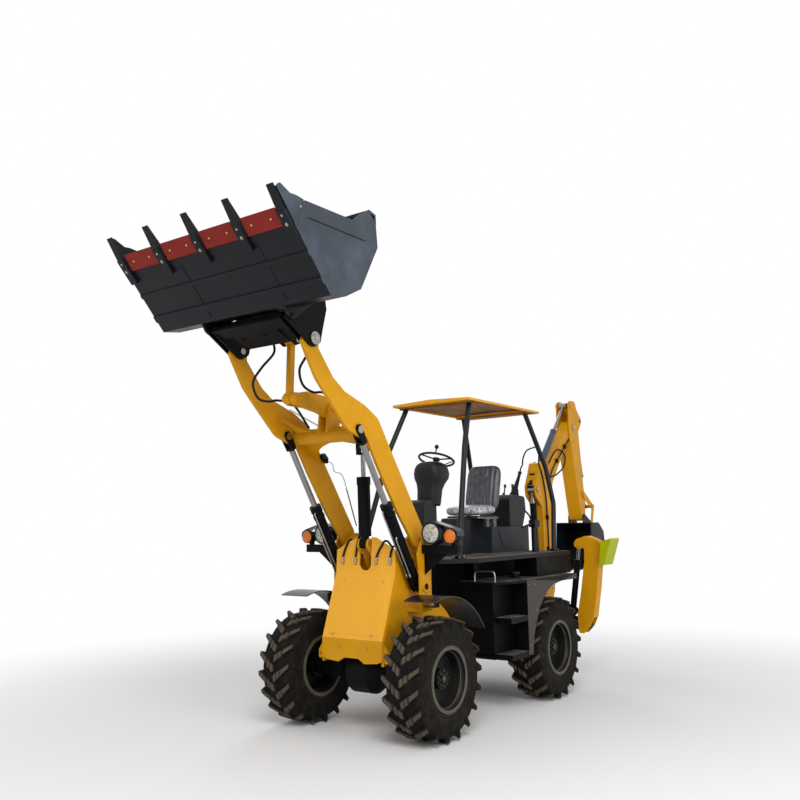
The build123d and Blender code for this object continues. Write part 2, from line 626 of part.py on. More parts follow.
def bucket():
    """The general purpose bucket: a rolled shell between two side plates with a horn on top."""
    shell_line = [tuple(p) for p in bucket_rear_line()]
    outline = turned_edge([p[:2] for p in shell_line][::-1], BUCKET_WALL)
    shell = side_plate(outline, -BUCKET_HALF, BUCKET_HALF)
    side = side_plate([along_floor(-42, 0)] + [p[:2] for p in shell_line[1:]] +
                      [(1180, 4357, 10), (1262, 4312), (1372, 4225, 60), (1930, 4215, 15),
                       (1975, 4150)],
                      BUCKET_HALF - BUCKET_SIDE_T, BUCKET_HALF)
    strip = side_plate([along_floor(-500, -4), along_floor(-440, -4), along_floor(-440, 12),
                        along_floor(-500, 12)], -BUCKET_HALF, BUCKET_HALF)
    rib = side_plate([along_floor(-262, -4), along_floor(-222, -4), along_floor(-222, 10),
                      along_floor(-262, 10)], -BUCKET_HALF, BUCKET_HALF)
    bracket = side_plate([(1170, 3880), (1120, 3800), (1112, 3745, 20), (1205, 3700),
                          (1300, 3640), (1530, 3470, 20), (1590, 3500, 20), (1640, 3575),
                          (1463, 3594), (1280, 3694)], HITCH_OUTER[1] + 6, HITCH_OUTER[1] + 26)
    bracket -= cross_pin((1545, 3508), 17, HITCH_OUTER[1], HITCH_OUTER[1] + 40)
    lip = side_plate([(1072, 4270), (1078, 4352), (1162, 4372), (1166, 4350), (1098, 4336),
                      (1092, 4268)], -BUCKET_HALF, BUCKET_HALF)
    return shell + both_sides(side + bracket) + strip + rib + lip


def along_floor(distance, depth):
    """A point beyond the bucket's cutting edge, along its floor, at a depth below it."""
    dx = BUCKET_EDGE[0] - BUCKET_HEEL[0]
    dz = BUCKET_EDGE[1] - BUCKET_HEEL[1]
    span = math.hypot(dx, dz)
    ux, uz = dx / span, dz / span
    return (BUCKET_EDGE[0] + ux * distance + uz * depth,
            BUCKET_EDGE[1] + uz * distance - ux * depth)


def bucket_edge():
    """Five bolt-on teeth, the four wear plates between them and the two side cutters."""
    shank_side = [along_floor(-110, 0), along_floor(0, 0), along_floor(0.5, -30),
                  along_floor(120, -30), along_floor(120, 34), along_floor(-110, 30)]
    blade_side = [along_floor(100, -28), along_floor(318, -6), along_floor(318, 6),
                  along_floor(100, 32)]
    plate_side = [along_floor(1, -9), along_floor(132, -9), along_floor(150, 6),
                  along_floor(1, 15)]
    cutter_side = [(1934, 4217, 8), (2023, 4226, 20), (2083, 4222, 20), (2188, 4268, 8),
                   along_floor(285, -8), along_floor(1, -8), along_floor(1, -16), (2010, 3999),
                   (1978, 4151)]
    pieces = both_sides(side_plate(cutter_side, BUCKET_HALF - BUCKET_SIDE_T, BUCKET_HALF))
    pitch = (BUCKET_HALF - TOOTH_INSET) / 2
    for step in (-2, -1, 0, 1, 2):
        y = step * pitch
        pieces += side_plate(shank_side, y - TOOTH_HALF - 6, y + TOOTH_HALF + 6)
        pieces += side_plate(blade_side, y - TOOTH_HALF, y + TOOTH_HALF)
    wear_half = pitch / 2 - WEAR_CLEAR
    for step in (-1.5, -0.5, 0.5, 1.5):
        pieces += side_plate(plate_side, step * pitch - wear_half, step * pitch + wear_half)
    return pieces


def rear_frame():
    """The rear frame: side rails, cross plates, rear axle seats and the hinge lugs with their pin."""
    rails = both_sides(side_plate([
        (-1200, 560), (-1200, 1240), (-1220, 1240), (-1220, 880), (-3050, 880), (-3050, 620),
        (-2300, PAD_TOP), (-1560, PAD_TOP), (-1480, 560)], 290, 315))
    frame = rails + block(-1220, -1200, -315, 315, 560, 1240)
    for x in (-1500, -2480, -3050):
        frame += block(x, x + 20, -290, 290, 640, 860)
    frame += block(-2460, -1480, -290, 290, 740, 756)
    for z0 in PIVOT_LUGS:
        frame += pivot_lug(-1201, z0, 230, PIVOT_PIN_R - 2)
    frame += rod((PIVOT_X, 0, PIVOT_LUGS[0] - 12), (PIVOT_X, 0, PIVOT_LUGS[1] + LUG_T + 12),
                 PIVOT_PIN_R)
    return frame


def engine_cover():
    """The hollow sheet housing round the engine, from the hinge to the rear, under the deck."""
    top = DECK_TOP - DECK_T
    outer = block(-2800, -1225, -COVER_Y, COVER_Y, 882, top)
    outer += block(-1225, -1150, -COVER_Y, COVER_Y, 1245, top)
    return outer - block(-2790, -1235, -COVER_Y + 10, COVER_Y - 10, 881, top - 10)


def deck():
    """The operator's deck: a plate with a turned-down edge and cut front corners."""
    half = DECK_HALF
    outline = [(-450, -500), (-450, 500), (-700, 720, 60), (-760, half), (DECK_REAR, half),
               (DECK_REAR, -half), (-760, -half), (-700, -720, 60)]
    plate = flat_plate(outline, DECK_TOP - DECK_SKIRT, DECK_TOP)
    inset = [(-462, -494), (-462, 494), (-706, 708, 48), (-762, half - 8), (DECK_REAR + 8, half - 8),
             (DECK_REAR + 8, 8 - half), (-762, 8 - half), (-706, -708, 48)]
    hollow = flat_plate(inset, DECK_TOP - DECK_SKIRT - 5, DECK_TOP - DECK_T)
    beams = both_sides(block(-1150, -462, 200, 250, DECK_TOP - DECK_SKIRT, DECK_TOP - DECK_T))
    return plate - hollow + beams


def side_box(sign):
    """Tank, steps, ledge, panel with its wheel arch, and the toolbox behind, on one side."""
    arch_r = TYRE_R + ARCH_GAP
    top = LEDGE_Z - LEDGE_T
    inner = COVER_Y
    ledge = flat_plate([(-1035, inner), (-1035, 760, 30), (-1250, 850, 80), (-1490, SIDE_Y),
                        (-2690, SIDE_Y), (-2690, inner)], top, LEDGE_Z)
    tank = block(-1570, -1105, inner, TREAD_Y, 575, top)
    panel_face = outline_face([(-1490, 530), (-1620, 530), (-1620, 700), (-1660, 820),
                               (-1760, 980), (-1900, 1105), (-2060, 1180), (-2300, 1212),
                               (-2690, 1212), (-2690, top), (-1490, top)])
    panel = Plane.XZ.offset(-SIDE_Y).location * extrude(panel_face, amount=8, dir=(0, 0, 1))
    panel -= cross_pin((-WHEELBASE, AXLE_Z), arch_r, 700, 1000)
    wall = block(-1500, -1490, TREAD_Y, SIDE_Y, 530, top)
    treads = None
    for z0, z1 in ((520, 573), (868, 922)):
        tread = block(-1490, -1140, TREAD_Y - (0 if z0 > 575 else 60), SIDE_Y, z0, z1)
        tread -= block(-1478, -1152, TREAD_Y + 12, SIDE_Y - 12, z0 - 1, z1 - 6)
        treads = tread if treads is None else treads + tread
    treads += block(-1500, -1140, inner, TREAD_Y, 560, 575)
    box = block(DECK_REAR, -1980, inner + 150, DECK_HALF - 2, LEDGE_Z, DECK_TOP - DECK_SKIRT)
    post = block(-1300, -1220, inner, 420, LEDGE_Z, DECK_TOP - DECK_SKIRT)
    cap = rod((-1720, 620, LEDGE_Z), (-1720, 620, LEDGE_Z + 60), 45)
    shape = ledge + tank + panel + wall + treads + box + post + cap
    return shape if sign > 0 else mirror(shape, about=Plane.XZ)


def tube_path(points, bend, radius):
    """A bent round tube through 3-D points."""
    path = FilletPolyline(*points, radius=bend)
    return sweep(Plane(origin=path @ 0, z_dir=path % 0) * Circle(radius), path=path)


def canopy_posts():
    """Four bent tubes, front pair and rear pair, on foot plates, cut level under the roof's ribs."""
    pairs = None
    for points in (((-655, 600, DECK_TOP + 10), (-1012, 478, 2640), (FRONT_RIB_X, 398, ROOF_Z)),
                   ((-2660, 625, DECK_TOP + 10), (-2822, 566, 2060), (-2760, 512, 2480),
                    (REAR_RIB_X, 412, ROOF_Z))):
        tube = tube_path(points, 150, POST_R)
        x, y = points[0][0], points[0][1]
        tube += block(x - 55, x + 55, y - 45, y + 45, DECK_TOP, DECK_TOP + 12)
        pairs = tube if pairs is None else pairs + tube
    return both_sides(pairs - block(-3000, -1000, 300, 600, ROOF_Z - RIB_DROP, ROOF_Z + 100))


def canopy_roof():
    """The roof panel: a shallow tray, hollow below, with two ribs that sit on the posts."""
    low, edge, ridge = ROOF_Z - 34, ROOF_Z - 8, ROOF_Z + 12
    half = ROOF_HALF
    roof = front_slab([(-half, low), (half, low), (half, edge), (0, ridge), (-half, edge)],
                      ROOF_REAR, ROOF_FRONT)
    inner = half - 6
    roof -= front_slab([(-inner, low - 5), (inner, low - 5), (inner, edge - 5), (0, ridge - 5),
                        (-inner, edge - 5)], ROOF_REAR + 6, ROOF_FRONT - 6)
    for x in (FRONT_RIB_X, REAR_RIB_X):
        roof += block(x - 45, x + 45, -inner, inner, ROOF_Z - RIB_DROP, edge - 5)
    return roof + block(-1900, -1700, -100, 100, ridge - 14, ROOF_PAD_Z)


def console():
    """The front cowl on the deck, the instrument console on it and the steering column."""
    cowl = side_plate([(-800, DECK_TOP), (-800, 2060, 40), (-860, 2090, 40), (-1045, 2095, 30),
                       (-1060, DECK_TOP)], -100, 100)
    body = side_plate([(-960, 2040), (-985, 2250), (-1165, 2250), (-1140, 2040)], -120, 120)
    head = side_plate([(-945, 2300, 40), (-985, 2476, 30), (-1210, 2488, 30), (-1262, 2380, 50),
                       (-1180, 2235, 30), (-985, 2235, 30)], -150, 150)
    wheel = Vector(*WHEEL_CENTRE)
    tilt = math.radians(WHEEL_TILT)
    lean = Vector(-math.sin(tilt), 0, math.cos(tilt))
    column = rod(wheel - lean * 120, wheel - lean * 15, 26)
    return cowl + body + head + column


def steering_wheel():
    """The steering wheel: rim, three spokes, hub and a knob on its stem."""
    ring = Torus(188, 12)
    ring += Cylinder(36, 30)
    for turn in (90, 210, 330):
        ring += Rot(0, 0, turn) * Pos(100, 0, 0) * Box(176, 24, 8)
    ring += Rot(0, 0, -60) * Pos(0, 188, 34) * Cylinder(7, 56)
    ring += Rot(0, 0, -60) * Pos(0, 188, 74) * Sphere(23)
    return Pos(*WHEEL_CENTRE) * Rot(0, -WHEEL_TILT, 0) * ring


def seat_base():
    """The seat's plinth, which also carries the backhoe's lever box, and the seat's suspension."""
    base = block(-2740, -1870, -270, 270, DECK_TOP, 1800)
    base += block(-2150, -1880, -170, 170, 1800, 1846)
    base += block(-2130, -1900, -150, 150, 1846, 1892)
    return base + block(-2130, -1690, -190, 190, 1892, 1926)


def seat_pads():
    """The cushion and the backrest, as plain soft forms."""
    cushion = side_plate([(-1630, 1960, 30), (-1640, 2030, 40), (-2070, 2050, 30),
                          (-2140, 1926), (-1680, 1926, 20)], -225, 225)
    back = side_plate([(-2060, 1926), (-2048, 2080), (-2190, 2500, 45), (-2285, 2520, 45),
                       (-2250, 2300), (-2160, 1926)], -225, 225)
    return cushion + back


def hoe_controls():
    """The backhoe's lever box behind the seat and the lever stand beside it."""
    box = side_plate([(-2420, 1800), (-2420, 2110, 50), (-2500, 2170, 50), (-2800, 2150, 50),
                      (-2820, 1990), (-2735, 1800)], -200, 200)
    for y in (-150, -50, 50, 150):
        box += rod((-2560, y, 2140), (-2600, y, 2265), 8)
        box += Pos(-2602, y, 2275) * Cylinder(15, 40)
    box += Pos(-2700, 120, 2190) * Cone(46, 22, 90)
    box += rod((-2700, 120, 2200), (-2850, 120, 2430), 10)
    box += Pos(-2854, 120, 2438) * Sphere(24)
    stand = rod((-2400, 520, DECK_TOP), (-2400, 520, 1800), 36)
    stand += block(-2455, -2345, 480, 560, 1790, 1868)
    return box + stand + rod((-2350, 520, 1830), (-2110, 520, 1790), 12)


def leg_ear(mid):
    """The eye in the middle of the leg's channel, and the two ears of its cylinder."""
    py, pz = LEG_PIVOT
    ear = front_slab([(500, 600), (py, pz - 62), (py + 58, pz - 30, 45), (py + 58, pz + 36, 45),
                      (py - 10, pz + 58, 40), (640, 738), (500, 745)], mid - 30, mid + 30)
    ear -= rod((mid - 40, py, pz), (mid + 40, py, pz), 22 + FIT)
    by, bz = LEG_CYL_BASE
    base = front_slab([(500, 640), (560, 700), (by + 46, bz - 24, 30), (by + 46, bz + 30, 30),
                       (by, bz + 48, 40), (500, 880)], mid + 36, mid + 54)
    base -= rod((mid, by, bz), (mid + 70, by, bz), 22 + FIT)
    return ear + base + Pos(2 * mid, 0, 0) * mirror(base, about=Plane.YZ)


def hoe_mount():
    """The cross beam behind the rear axle, with the stabiliser ears and the swing brackets."""
    x0, x1 = LEG_X
    beam = block(x0, x1, -520, 520, 620, 900)
    beam += block(x1, -3050, -315, 315, 640, 880)
    beam += both_sides(leg_ear((x0 + x1) / 2))
    beam += both_sides(block(x0, x1, 500, 530, 600, 900))
    for z0 in (700, 950):
        bracket = flat_plate([(x0 + 1, -200), (SWING_X, -80), (SWING_X, 80), (x0 + 1, 200)],
                             z0, z0 + 32)
        bracket += rod((SWING_X, 0, z0), (SWING_X, 0, z0 + 32), 80)
        beam += bracket - rod((SWING_X, 0, z0 - 1), (SWING_X, 0, z0 + 33), 30 + FIT)
    beam += block(x0, x0 + 30, -200, 200, 900, 982)
    return beam


def swing_post():
    """The casting that swings the backhoe: a pivot barrel, the boom's foot and a cylinder seat."""
    post = rod((SWING_X, 0, 738), (SWING_X, 0, 944), 78)
    post += rod((SWING_X, 0, 690), (SWING_X, 0, 990), 30)
    post += block(SWING_X - 180, SWING_X - 40, -104, 104, 742, 940)
    fx, fz = BOOM_FOOT
    bx, bz = BOOM_CYL_BASE
    front_x = SWING_X - 110
    cheek = side_plate([(front_x, 742), (front_x, 985), (bx + 50, 985), (bx + 52, bz + 10, 30),
                        (bx + 20, bz + 48, 30), (bx - 60, bz + 40), (fx, fz + 66, 40),
                        (fx - 66, fz + 10, 40), (fx - 50, fz - 60, 40), (-3600, 742)],
                       BOOM_HALF + GAP, BOOM_HALF + GAP + 22)
    for place in (BOOM_FOOT, BOOM_CYL_BASE):
        cheek -= cross_pin(place, PIN_R + FIT, 70, 120)
    post += both_sides(cheek)
    return post


def boom():
    """The banana-shaped boom, with a slot at the elbow for its cylinder's rod."""
    fx, fz = BOOM_FOOT
    dx, dz = DIPPER_PIVOT
    lower = side_plate([
        (fx + 80, fz, 60), (-3535, 1300, 200), (-3520, 2030, 60), (-3345, 2170, 60),
        (-3335, 2290, 60), (-3430, 2470), (-3480, 2590, 30), (-3560, 2610, 20),
        (-3630, 2620, 40), (-3700, 2530, 20), (-3770, 2590), (-4150, 2920, 60),
        (dx + 60, dz + 86, 40),
        (dx - 50, dz + 66, 50), (dx - 60, dz - 50, 50), (dx + 70, dz - 90, 100),
        (-3840, 2350, 200), (-3780, 2100, 200), (-3790, 1300, 200), (fx - 84, fz + 20, 60),
        (fx - 40, fz - 80, 60), (fx + 50, fz - 76, 60)], -BOOM_HALF, BOOM_HALF)
    lower -= block(-3500, -3300, -56, 56, 1990, 2420)
    lower -= side_plate([(-3540, 2440), (-3500, 2720), (-3900, 2800), (-3770, 2600),
                         (-3680, 2470)], -50, 50)
    lower -= cross_pin(DIPPER_CYL_BASE, PIN_R + FIT, -100, 100)
    lower += cross_pin(BOOM_FOOT, PIN_R, -BOOM_HALF - 34, BOOM_HALF + 34)
    lower += both_sides(cross_pin(BOOM_CYL_EYE, 32, BOOM_HALF, BOOM_HALF + 10))
    return lower + cross_pin(DIPPER_PIVOT, PIN_R, -DIPPER_HALF - 8, DIPPER_HALF + 8)


def plain_barrel(base, eye, end, bore_start, radius, rod_r, pin_half, eye_half):
    """A cylinder's barrel with its base eye and pin, bored for the rod."""
    barrel = cylinder_rod(base, eye, 0, 25, end, radius)
    barrel += cylinder_rod(base, eye, 0, end - 30, end, radius + 4)
    barrel += cross_pin(base, radius - 4, -eye_half, eye_half)
    barrel += cross_pin(base, PIN_R if radius > 35 else 18, -pin_half, pin_half)
    return barrel - cylinder_rod(base, eye, 0, bore_start, end + 5, rod_r + FIT)


def plain_rod(base, eye, start, radius, eye_r, eye_half):
    """A cylinder's rod with a plain eye at its end."""
    length = math.dist(base, eye)
    bar = cylinder_rod(base, eye, 0, start, length - eye_r + 4, radius)
    return bar + cross_pin(eye, eye_r, -eye_half, eye_half)


def dipper():
    """The dipper: a box that tapers to the bucket, open between two plates at its head."""
    px, pz = HOE_PIVOT
    lx, lz = DIPPER_CYL_EYE
    nx, nz = HOE_CYL_BASE
    body = side_plate([
        (-4380, 3080, 40), (-4385, 3250), (lx + 40, lz - 30, 20), (lx + 44, lz + 20, 30),
        (lx - 10, lz + 66, 40), (-4600, 3500, 60), (-4650, 3390, 60), (nx - 30, nz + 44, 30),
        (nx - 46, nz - 20, 30), (-4680, 3080), (-4790, 2150), (-4795, 1930),
        (px - 40, pz - 55, 40), (px + 45, pz - 50, 40), (-4600, 2150)],
        -DIPPER_HALF, DIPPER_HALF)
    inner = DIPPER_HALF - DIPPER_WALL
    body -= side_plate([(-4300, 2930), (-4640, 2930), (-4640, 3400), (-4560, 3560),
                        (-4300, 3560)], -inner, inner)
    body -= block(nx - 80, nx + 70, -40, 40, 3120, 3330)
    body -= cross_pin(HOE_CYL_BASE, 18 + FIT, -DIPPER_HALF - 5, DIPPER_HALF + 5)
    body -= cross_pin(DIPPER_PIVOT, PIN_R + FIT, -DIPPER_HALF - 5, DIPPER_HALF + 5)
    for place in (HOE_PIVOT, BELLCRANK):
        body -= cross_pin(place, 22 + FIT, -DIPPER_HALF - 5, DIPPER_HALF + 5)
    body += both_sides(cross_pin(DIPPER_CYL_EYE, 34, DIPPER_HALF, DIPPER_HALF + 10))
    return body


def bellcrank():
    """The rocker that turns the hoe bucket: two plates on one pin, with half spacers."""
    cx, cz = BELLCRANK
    sx, sz = HOE_CYL_EYE
    y0 = DIPPER_HALF + GAP
    plate = side_plate([(cx + 34, cz + 10, 28), (cx - 10, cz + 38, 28), (sx - 20, sz + 36, 28),
                        (sx - 36, sz - 10, 28), (sx + 10, sz - 38, 28), (cx + 20, cz - 34, 28)],
                       y0, y0 + 12)
    plate += cross_pin(HOE_CYL_EYE, 22, 36, y0)
    plate += cross_pin(HOE_CYL_EYE, 22, y0 + 12, y0 + 34)
    return both_sides(plate) + cross_pin(BELLCRANK, 22, -y0 - 20, y0 + 20)


def bucket_link():
    """The short link from the bellcrank to the hoe bucket's ears."""
    sx, sz = HOE_CYL_EYE
    qx, qz = HOE_LINK
    y0 = DIPPER_HALF + GAP + 15
    plate = side_plate([(sx - 34, sz + 20, 28), (sx + 20, sz + 38, 28), (qx + 25, qz - 4, 20),
                        (qx + 6, qz - 25, 20), (qx - 22, qz - 12, 20), (sx - 36, sz - 10, 28)],
                       y0, y0 + 12)
    return plate - cross_pin(HOE_CYL_EYE, 22 + FIT, y0 - 5, y0 + 20)


def hoe_bucket():
    """The digging bucket: a rolled shell, two sides, two ears with their pin, and teeth."""
    px, pz = HOE_PIVOT
    qx, qz = HOE_LINK
    line = [(-4600, 1822), (-4850, 1822), (-5010, 1700), (-5050, 1480), (-4960, 1290),
            (-4540, 1205)]
    shell = side_plate(turned_edge(line, 12), -HOE_HALF, HOE_HALF)
    side = both_sides(side_plate(line, HOE_HALF - 12, HOE_HALF))
    y0 = DIPPER_HALF + GAP
    ear = side_plate([(px + 46, 1814), (px + 46, pz + 10, 30), (px, pz + 46, 30),
                      (qx + 10, qz + 46, 30), (qx - 42, qz + 10, 30), (qx - 44, 1719),
                      (-4850, 1814)], y0, y0 + 12)
    shape = shell + side + both_sides(ear) + cross_pin(HOE_PIVOT, 22, -y0 - 13, y0 + 13)
    for y in (-220, -110, 0, 110, 220):
        shape += side_plate([(-4640, 1218), (-4530, 1195), (-4400, 1183), (-4400, 1193),
                             (-4530, 1232), (-4640, 1246)], y - 25, y + 25)
    return shape


def stabiliser_leg():
    """The left stabiliser's leg: a channel open inward, hooked at its head, with its foot pad."""
    py, pz = LEG_PIVOT
    ey, ez = LEG_CYL_EYE
    x0, x1 = LEG_X
    leg = front_slab([(695, 556, 30), (760, 556, 30), (838, 640, 40), (888, 750), (944, 1084),
                      (971, 1302), (1017, 1594, 20), (940, 1640, 60), (830, 1676, 60),
                      (ey - 10, ez + 64, 40), (ey - 52, ez - 6, 40), (ey + 19, ez - 56, 40),
                      (790, 1545, 25), (807, 1521, 10), (800, 1372), (744, 1034), (691, 768)],
                     x0, x1)
    leg -= front_slab([(560, 470), (900, 470), (900, 720), (866, 756), (922, 1088),
                       (949, 1306), (990, 1560), (930, 1608), (830, 1642), (815, 1700),
                       (560, 1700)], x0 + LEG_WALL, x1 - LEG_WALL)
    leg += rod((x0 - 8, py, pz), (x1 + 8, py, pz), 22)
    pad = front_slab([(1035, 1609), (1161, 1647), (1159, 1616), (1068, 1343), (1008, 1354)],
                     x0 - 60, x1 + 60)
    hinge = block(x0 + 20, x1 - 20, 985, 1060, 1545, 1590)
    heads = rod((x0 - 8, ey, ez), (x0, ey, ez), 28) + rod((x1, ey, ez), (x1 + 8, ey, ez), 28)
    return leg + pad + hinge + heads


def leg_barrel():
    """The left stabiliser's cylinder barrel with its base pin."""
    by, bz = LEG_CYL_BASE
    ey, ez = LEG_CYL_EYE
    mid = sum(LEG_X) / 2
    length = math.dist(LEG_CYL_BASE, LEG_CYL_EYE)

    def place(distance):
        share = distance / length
        return (mid, by + (ey - by) * share, bz + (ez - bz) * share)

    barrel = rod(place(40), place(600), 36) + rod(place(570), place(600), 40)
    barrel += rod((mid - 30, by, bz), (mid + 30, by, bz), 36)
    barrel += rod((mid - 60, by, bz), (mid + 60, by, bz), 22)
    return barrel - rod(place(60), place(605), 20 + FIT)


def leg_rod():
    """The left stabiliser's cylinder rod with its eye between the leg's plates."""
    by, bz = LEG_CYL_BASE
    ey, ez = LEG_CYL_EYE
    mid = sum(LEG_X) / 2
    length = math.dist(LEG_CYL_BASE, LEG_CYL_EYE)

    def place(distance):
        share = distance / length
        return (mid, by + (ey - by) * share, bz + (ez - bz) * share)

    return rod(place(80), place(length - 26), 20) + rod((mid - 27, ey, ez), (mid + 27, ey, ez), 30)


def main():
    os.makedirs("parts", exist_ok=True)
    wheels()
    save("front_axle", axle(0.0))
    save("rear_axle", axle(-WHEELBASE))
    save("front_frame", front_frame())
    save("front_panel", front_panel())
    save("front_fenders", both_sides(fender()))
    save("head_lamps", both_sides(head_lamp()))
    save("loader_arms", loader_arms())
    save("lift_barrels", both_sides(lift_barrel()))
    save("lift_rods", both_sides(lift_rod()))
    save("rocker", rocker())
    save("rocker_pin", cross_pin(ROCKER_PIVOT, PIN_R, -72, 72))
    save("tilt_link", tilt_link())
    save("link_pin", cross_pin(LINK_TOP, PIN_R, -86, 86))
    save("tilt_base_pin", cross_pin(TILT_BASE, PIN_R, -66, 66))
    save("tilt_barrel", tilt_barrel())
    save("tilt_rod", tilt_rod())
    hitch_pin = cross_pin(ARM_TIP, PIN_R, HITCH_INNER[0] - 8, HITCH_OUTER[1] + 1)
    hitch_pin += cross_pin(ARM_TIP, 55, HITCH_OUTER[1] + 1, HITCH_OUTER[1] + 12)
    save("hitch_pins", both_sides(hitch_pin))
    save("quick_hitch", quick_hitch())
    save("bucket", bucket())
    save("bucket_edge", bucket_edge())
    save("rear_frame", rear_frame())
    save("engine", block(-2290, -1520, -250, 250, 756, 1380))
    save("engine_cover", engine_cover())
    save("deck", deck())
    save("side_box_left", side_box(1))
    save("side_box_right", side_box(-1))
    save("canopy_posts", canopy_posts())
    save("canopy_roof", canopy_roof())
    save("console", console())
    save("steering_wheel", steering_wheel())
    save("seat_base", seat_base())
    save("seat_pads", seat_pads())
    save("hoe_controls", hoe_controls())
    save("hoe_mount", hoe_mount())
    save("swing_post", swing_post())
    save("boom", boom())
    save("boom_barrel", plain_barrel(BOOM_CYL_BASE, BOOM_CYL_EYE, 900, 380, 42, 26, 106, 70))
    save("boom_rod", plain_rod(BOOM_CYL_BASE, BOOM_CYL_EYE, 400, 26, 44, 50))
    save("dipper", dipper())
    save("dipper_barrel", plain_barrel(DIPPER_CYL_BASE, DIPPER_CYL_EYE, 690, 150, 40, 22, 92, 40))
    save("dipper_rod", plain_rod(DIPPER_CYL_BASE, DIPPER_CYL_EYE, 600, 22, 38, 50))
    save("hoe_bucket_barrel", plain_barrel(HOE_CYL_BASE, HOE_CYL_EYE, 800, 280, 34, 18, 104, 34))
    save("hoe_bucket_rod", plain_rod(HOE_CYL_BASE, HOE_CYL_EYE, 620, 18, 30, 30))
    save("bellcrank", bellcrank())
    save("bucket_link", both_sides(bucket_link()))
    save("hoe_bucket", hoe_bucket())
    for side in ("left", "right"):
        for name, shape in (("leg", stabiliser_leg()), ("barrel", leg_barrel()),
                            ("rod", leg_rod())):
            if side == "right":
                shape = mirror(shape, about=Plane.XZ)
            save(f"stabiliser_{name}_{side}", shape)


main()
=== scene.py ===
"""Looks for the backhoe loader: finishes on its solids, and the fine pieces round them."""
import math

import bpy
import numpy as np
from mathutils import Matrix, Vector


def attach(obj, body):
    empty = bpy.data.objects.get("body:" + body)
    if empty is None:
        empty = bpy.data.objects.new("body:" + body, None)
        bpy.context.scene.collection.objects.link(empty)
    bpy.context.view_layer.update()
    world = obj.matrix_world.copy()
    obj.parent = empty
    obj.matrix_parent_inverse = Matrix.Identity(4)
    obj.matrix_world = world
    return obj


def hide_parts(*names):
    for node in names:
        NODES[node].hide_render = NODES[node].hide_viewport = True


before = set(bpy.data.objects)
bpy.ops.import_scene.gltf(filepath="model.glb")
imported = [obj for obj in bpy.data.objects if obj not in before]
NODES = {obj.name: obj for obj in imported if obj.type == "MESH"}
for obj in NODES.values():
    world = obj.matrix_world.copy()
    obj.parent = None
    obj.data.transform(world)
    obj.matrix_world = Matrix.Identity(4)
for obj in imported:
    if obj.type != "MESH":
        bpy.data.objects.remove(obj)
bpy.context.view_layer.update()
COLLECTION = bpy.context.scene.collection

# X of the front axle in this frame, in metres
FRONT_AXLE_X = 1.397
# Sizes of the solids and places on them, in millimetres from the front axle, the middle plane
# and the ground
TYRE_R = 525.0
TRACK_HALF = 718.0
WHEELBASE = 2167.0
LUG_COUNT = 18
SIDE_Y = 880.0
ARM_Y = 420.0
LIFT_BASE = (-200.0, 1283.0)
LIFT_EYE = (660.0, 2667.0)
ROCKER_REAR = (60.0, 2650.0)
TOOTH_PITCH = 463.5
CROSS_TUBE = (528.0, 2660.0)
BUCKET_HALF = 968
DECK_TOP = 1512
POST_FEET = ((-655, 600), (-2660, 625))
POST_FOOT_TOP = 1526
COLUMN_LEAN = math.radians(19)
LAMP_FACE = -104
LAMP_Y = 650
LAMP_Z = 1766
TURN_LAMP_Y = 855
TURN_LAMP_Z = 1737
# Directions, and the two sides with the sign of their Y
FORWARD = (1, 0, 0)
LEFT = (0, 1, 0)
UPWARD = (0, 0, 1)
SIDES = ((1, "left"), (-1, "right"))

# The camera that took the photograph, measured from the front axle
CAMERA_PLACE = (6.289 + FRONT_AXLE_X, 4.961, 1.878)
CAMERA_YAW = 35.919
CAMERA_PITCH = 8.217
CAMERA_ROLL = -0.890
FOCAL_PIXELS = 839.95
IMAGE_PIXELS = 800.0
SENSOR_MM = 36.0


def here(places):
    """Places in millimetres from the front axle, as metres in this frame."""
    return np.asarray(places, float) / 1000 + np.array((FRONT_AXLE_X, 0.0, 0.0))


# Finishes


def srgb(code):
    """Linear RGBA of an sRGB hex colour: each channel c becomes ((c + 0.055) / 1.055) ^ 2.4."""
    channels = np.array([int(code[i:i + 2], 16) for i in (1, 3, 5)]) / 255
    low = channels / 12.92
    high = ((channels + 0.055) / 1.055) ** 2.4
    return (*np.where(channels <= 0.04045, low, high), 1.0)


def add(tree, kind, settings=None, **inputs):
    """Adds one node: settings are its own properties, inputs are values or sockets to link.

    An input goes by its name, or by its number where several share one: i0, i1 and so on.
    """
    node = tree.nodes.new(kind)
    for name, value in (settings or {}).items():
        setattr(node, name, value)
    for name, value in inputs.items():
        numbered = name[0] == "i" and name[1:].isdigit()
        socket = node.inputs[int(name[1:])] if numbered else node.inputs[name.replace("_", " ")]
        if isinstance(value, bpy.types.NodeSocket):
            tree.links.new(value, socket)
        else:
            socket.default_value = value
    return node


def new_material(name):
    """An empty material and its node tree with the two standard nodes."""
    material = bpy.data.materials.new(name)
    material.use_nodes = True
    tree = material.node_tree
    tree.nodes.clear()
    shader = add(tree, "ShaderNodeBsdfPrincipled")
    add(tree, "ShaderNodeOutputMaterial", Surface=shader.outputs["BSDF"])
    return material, tree, shader


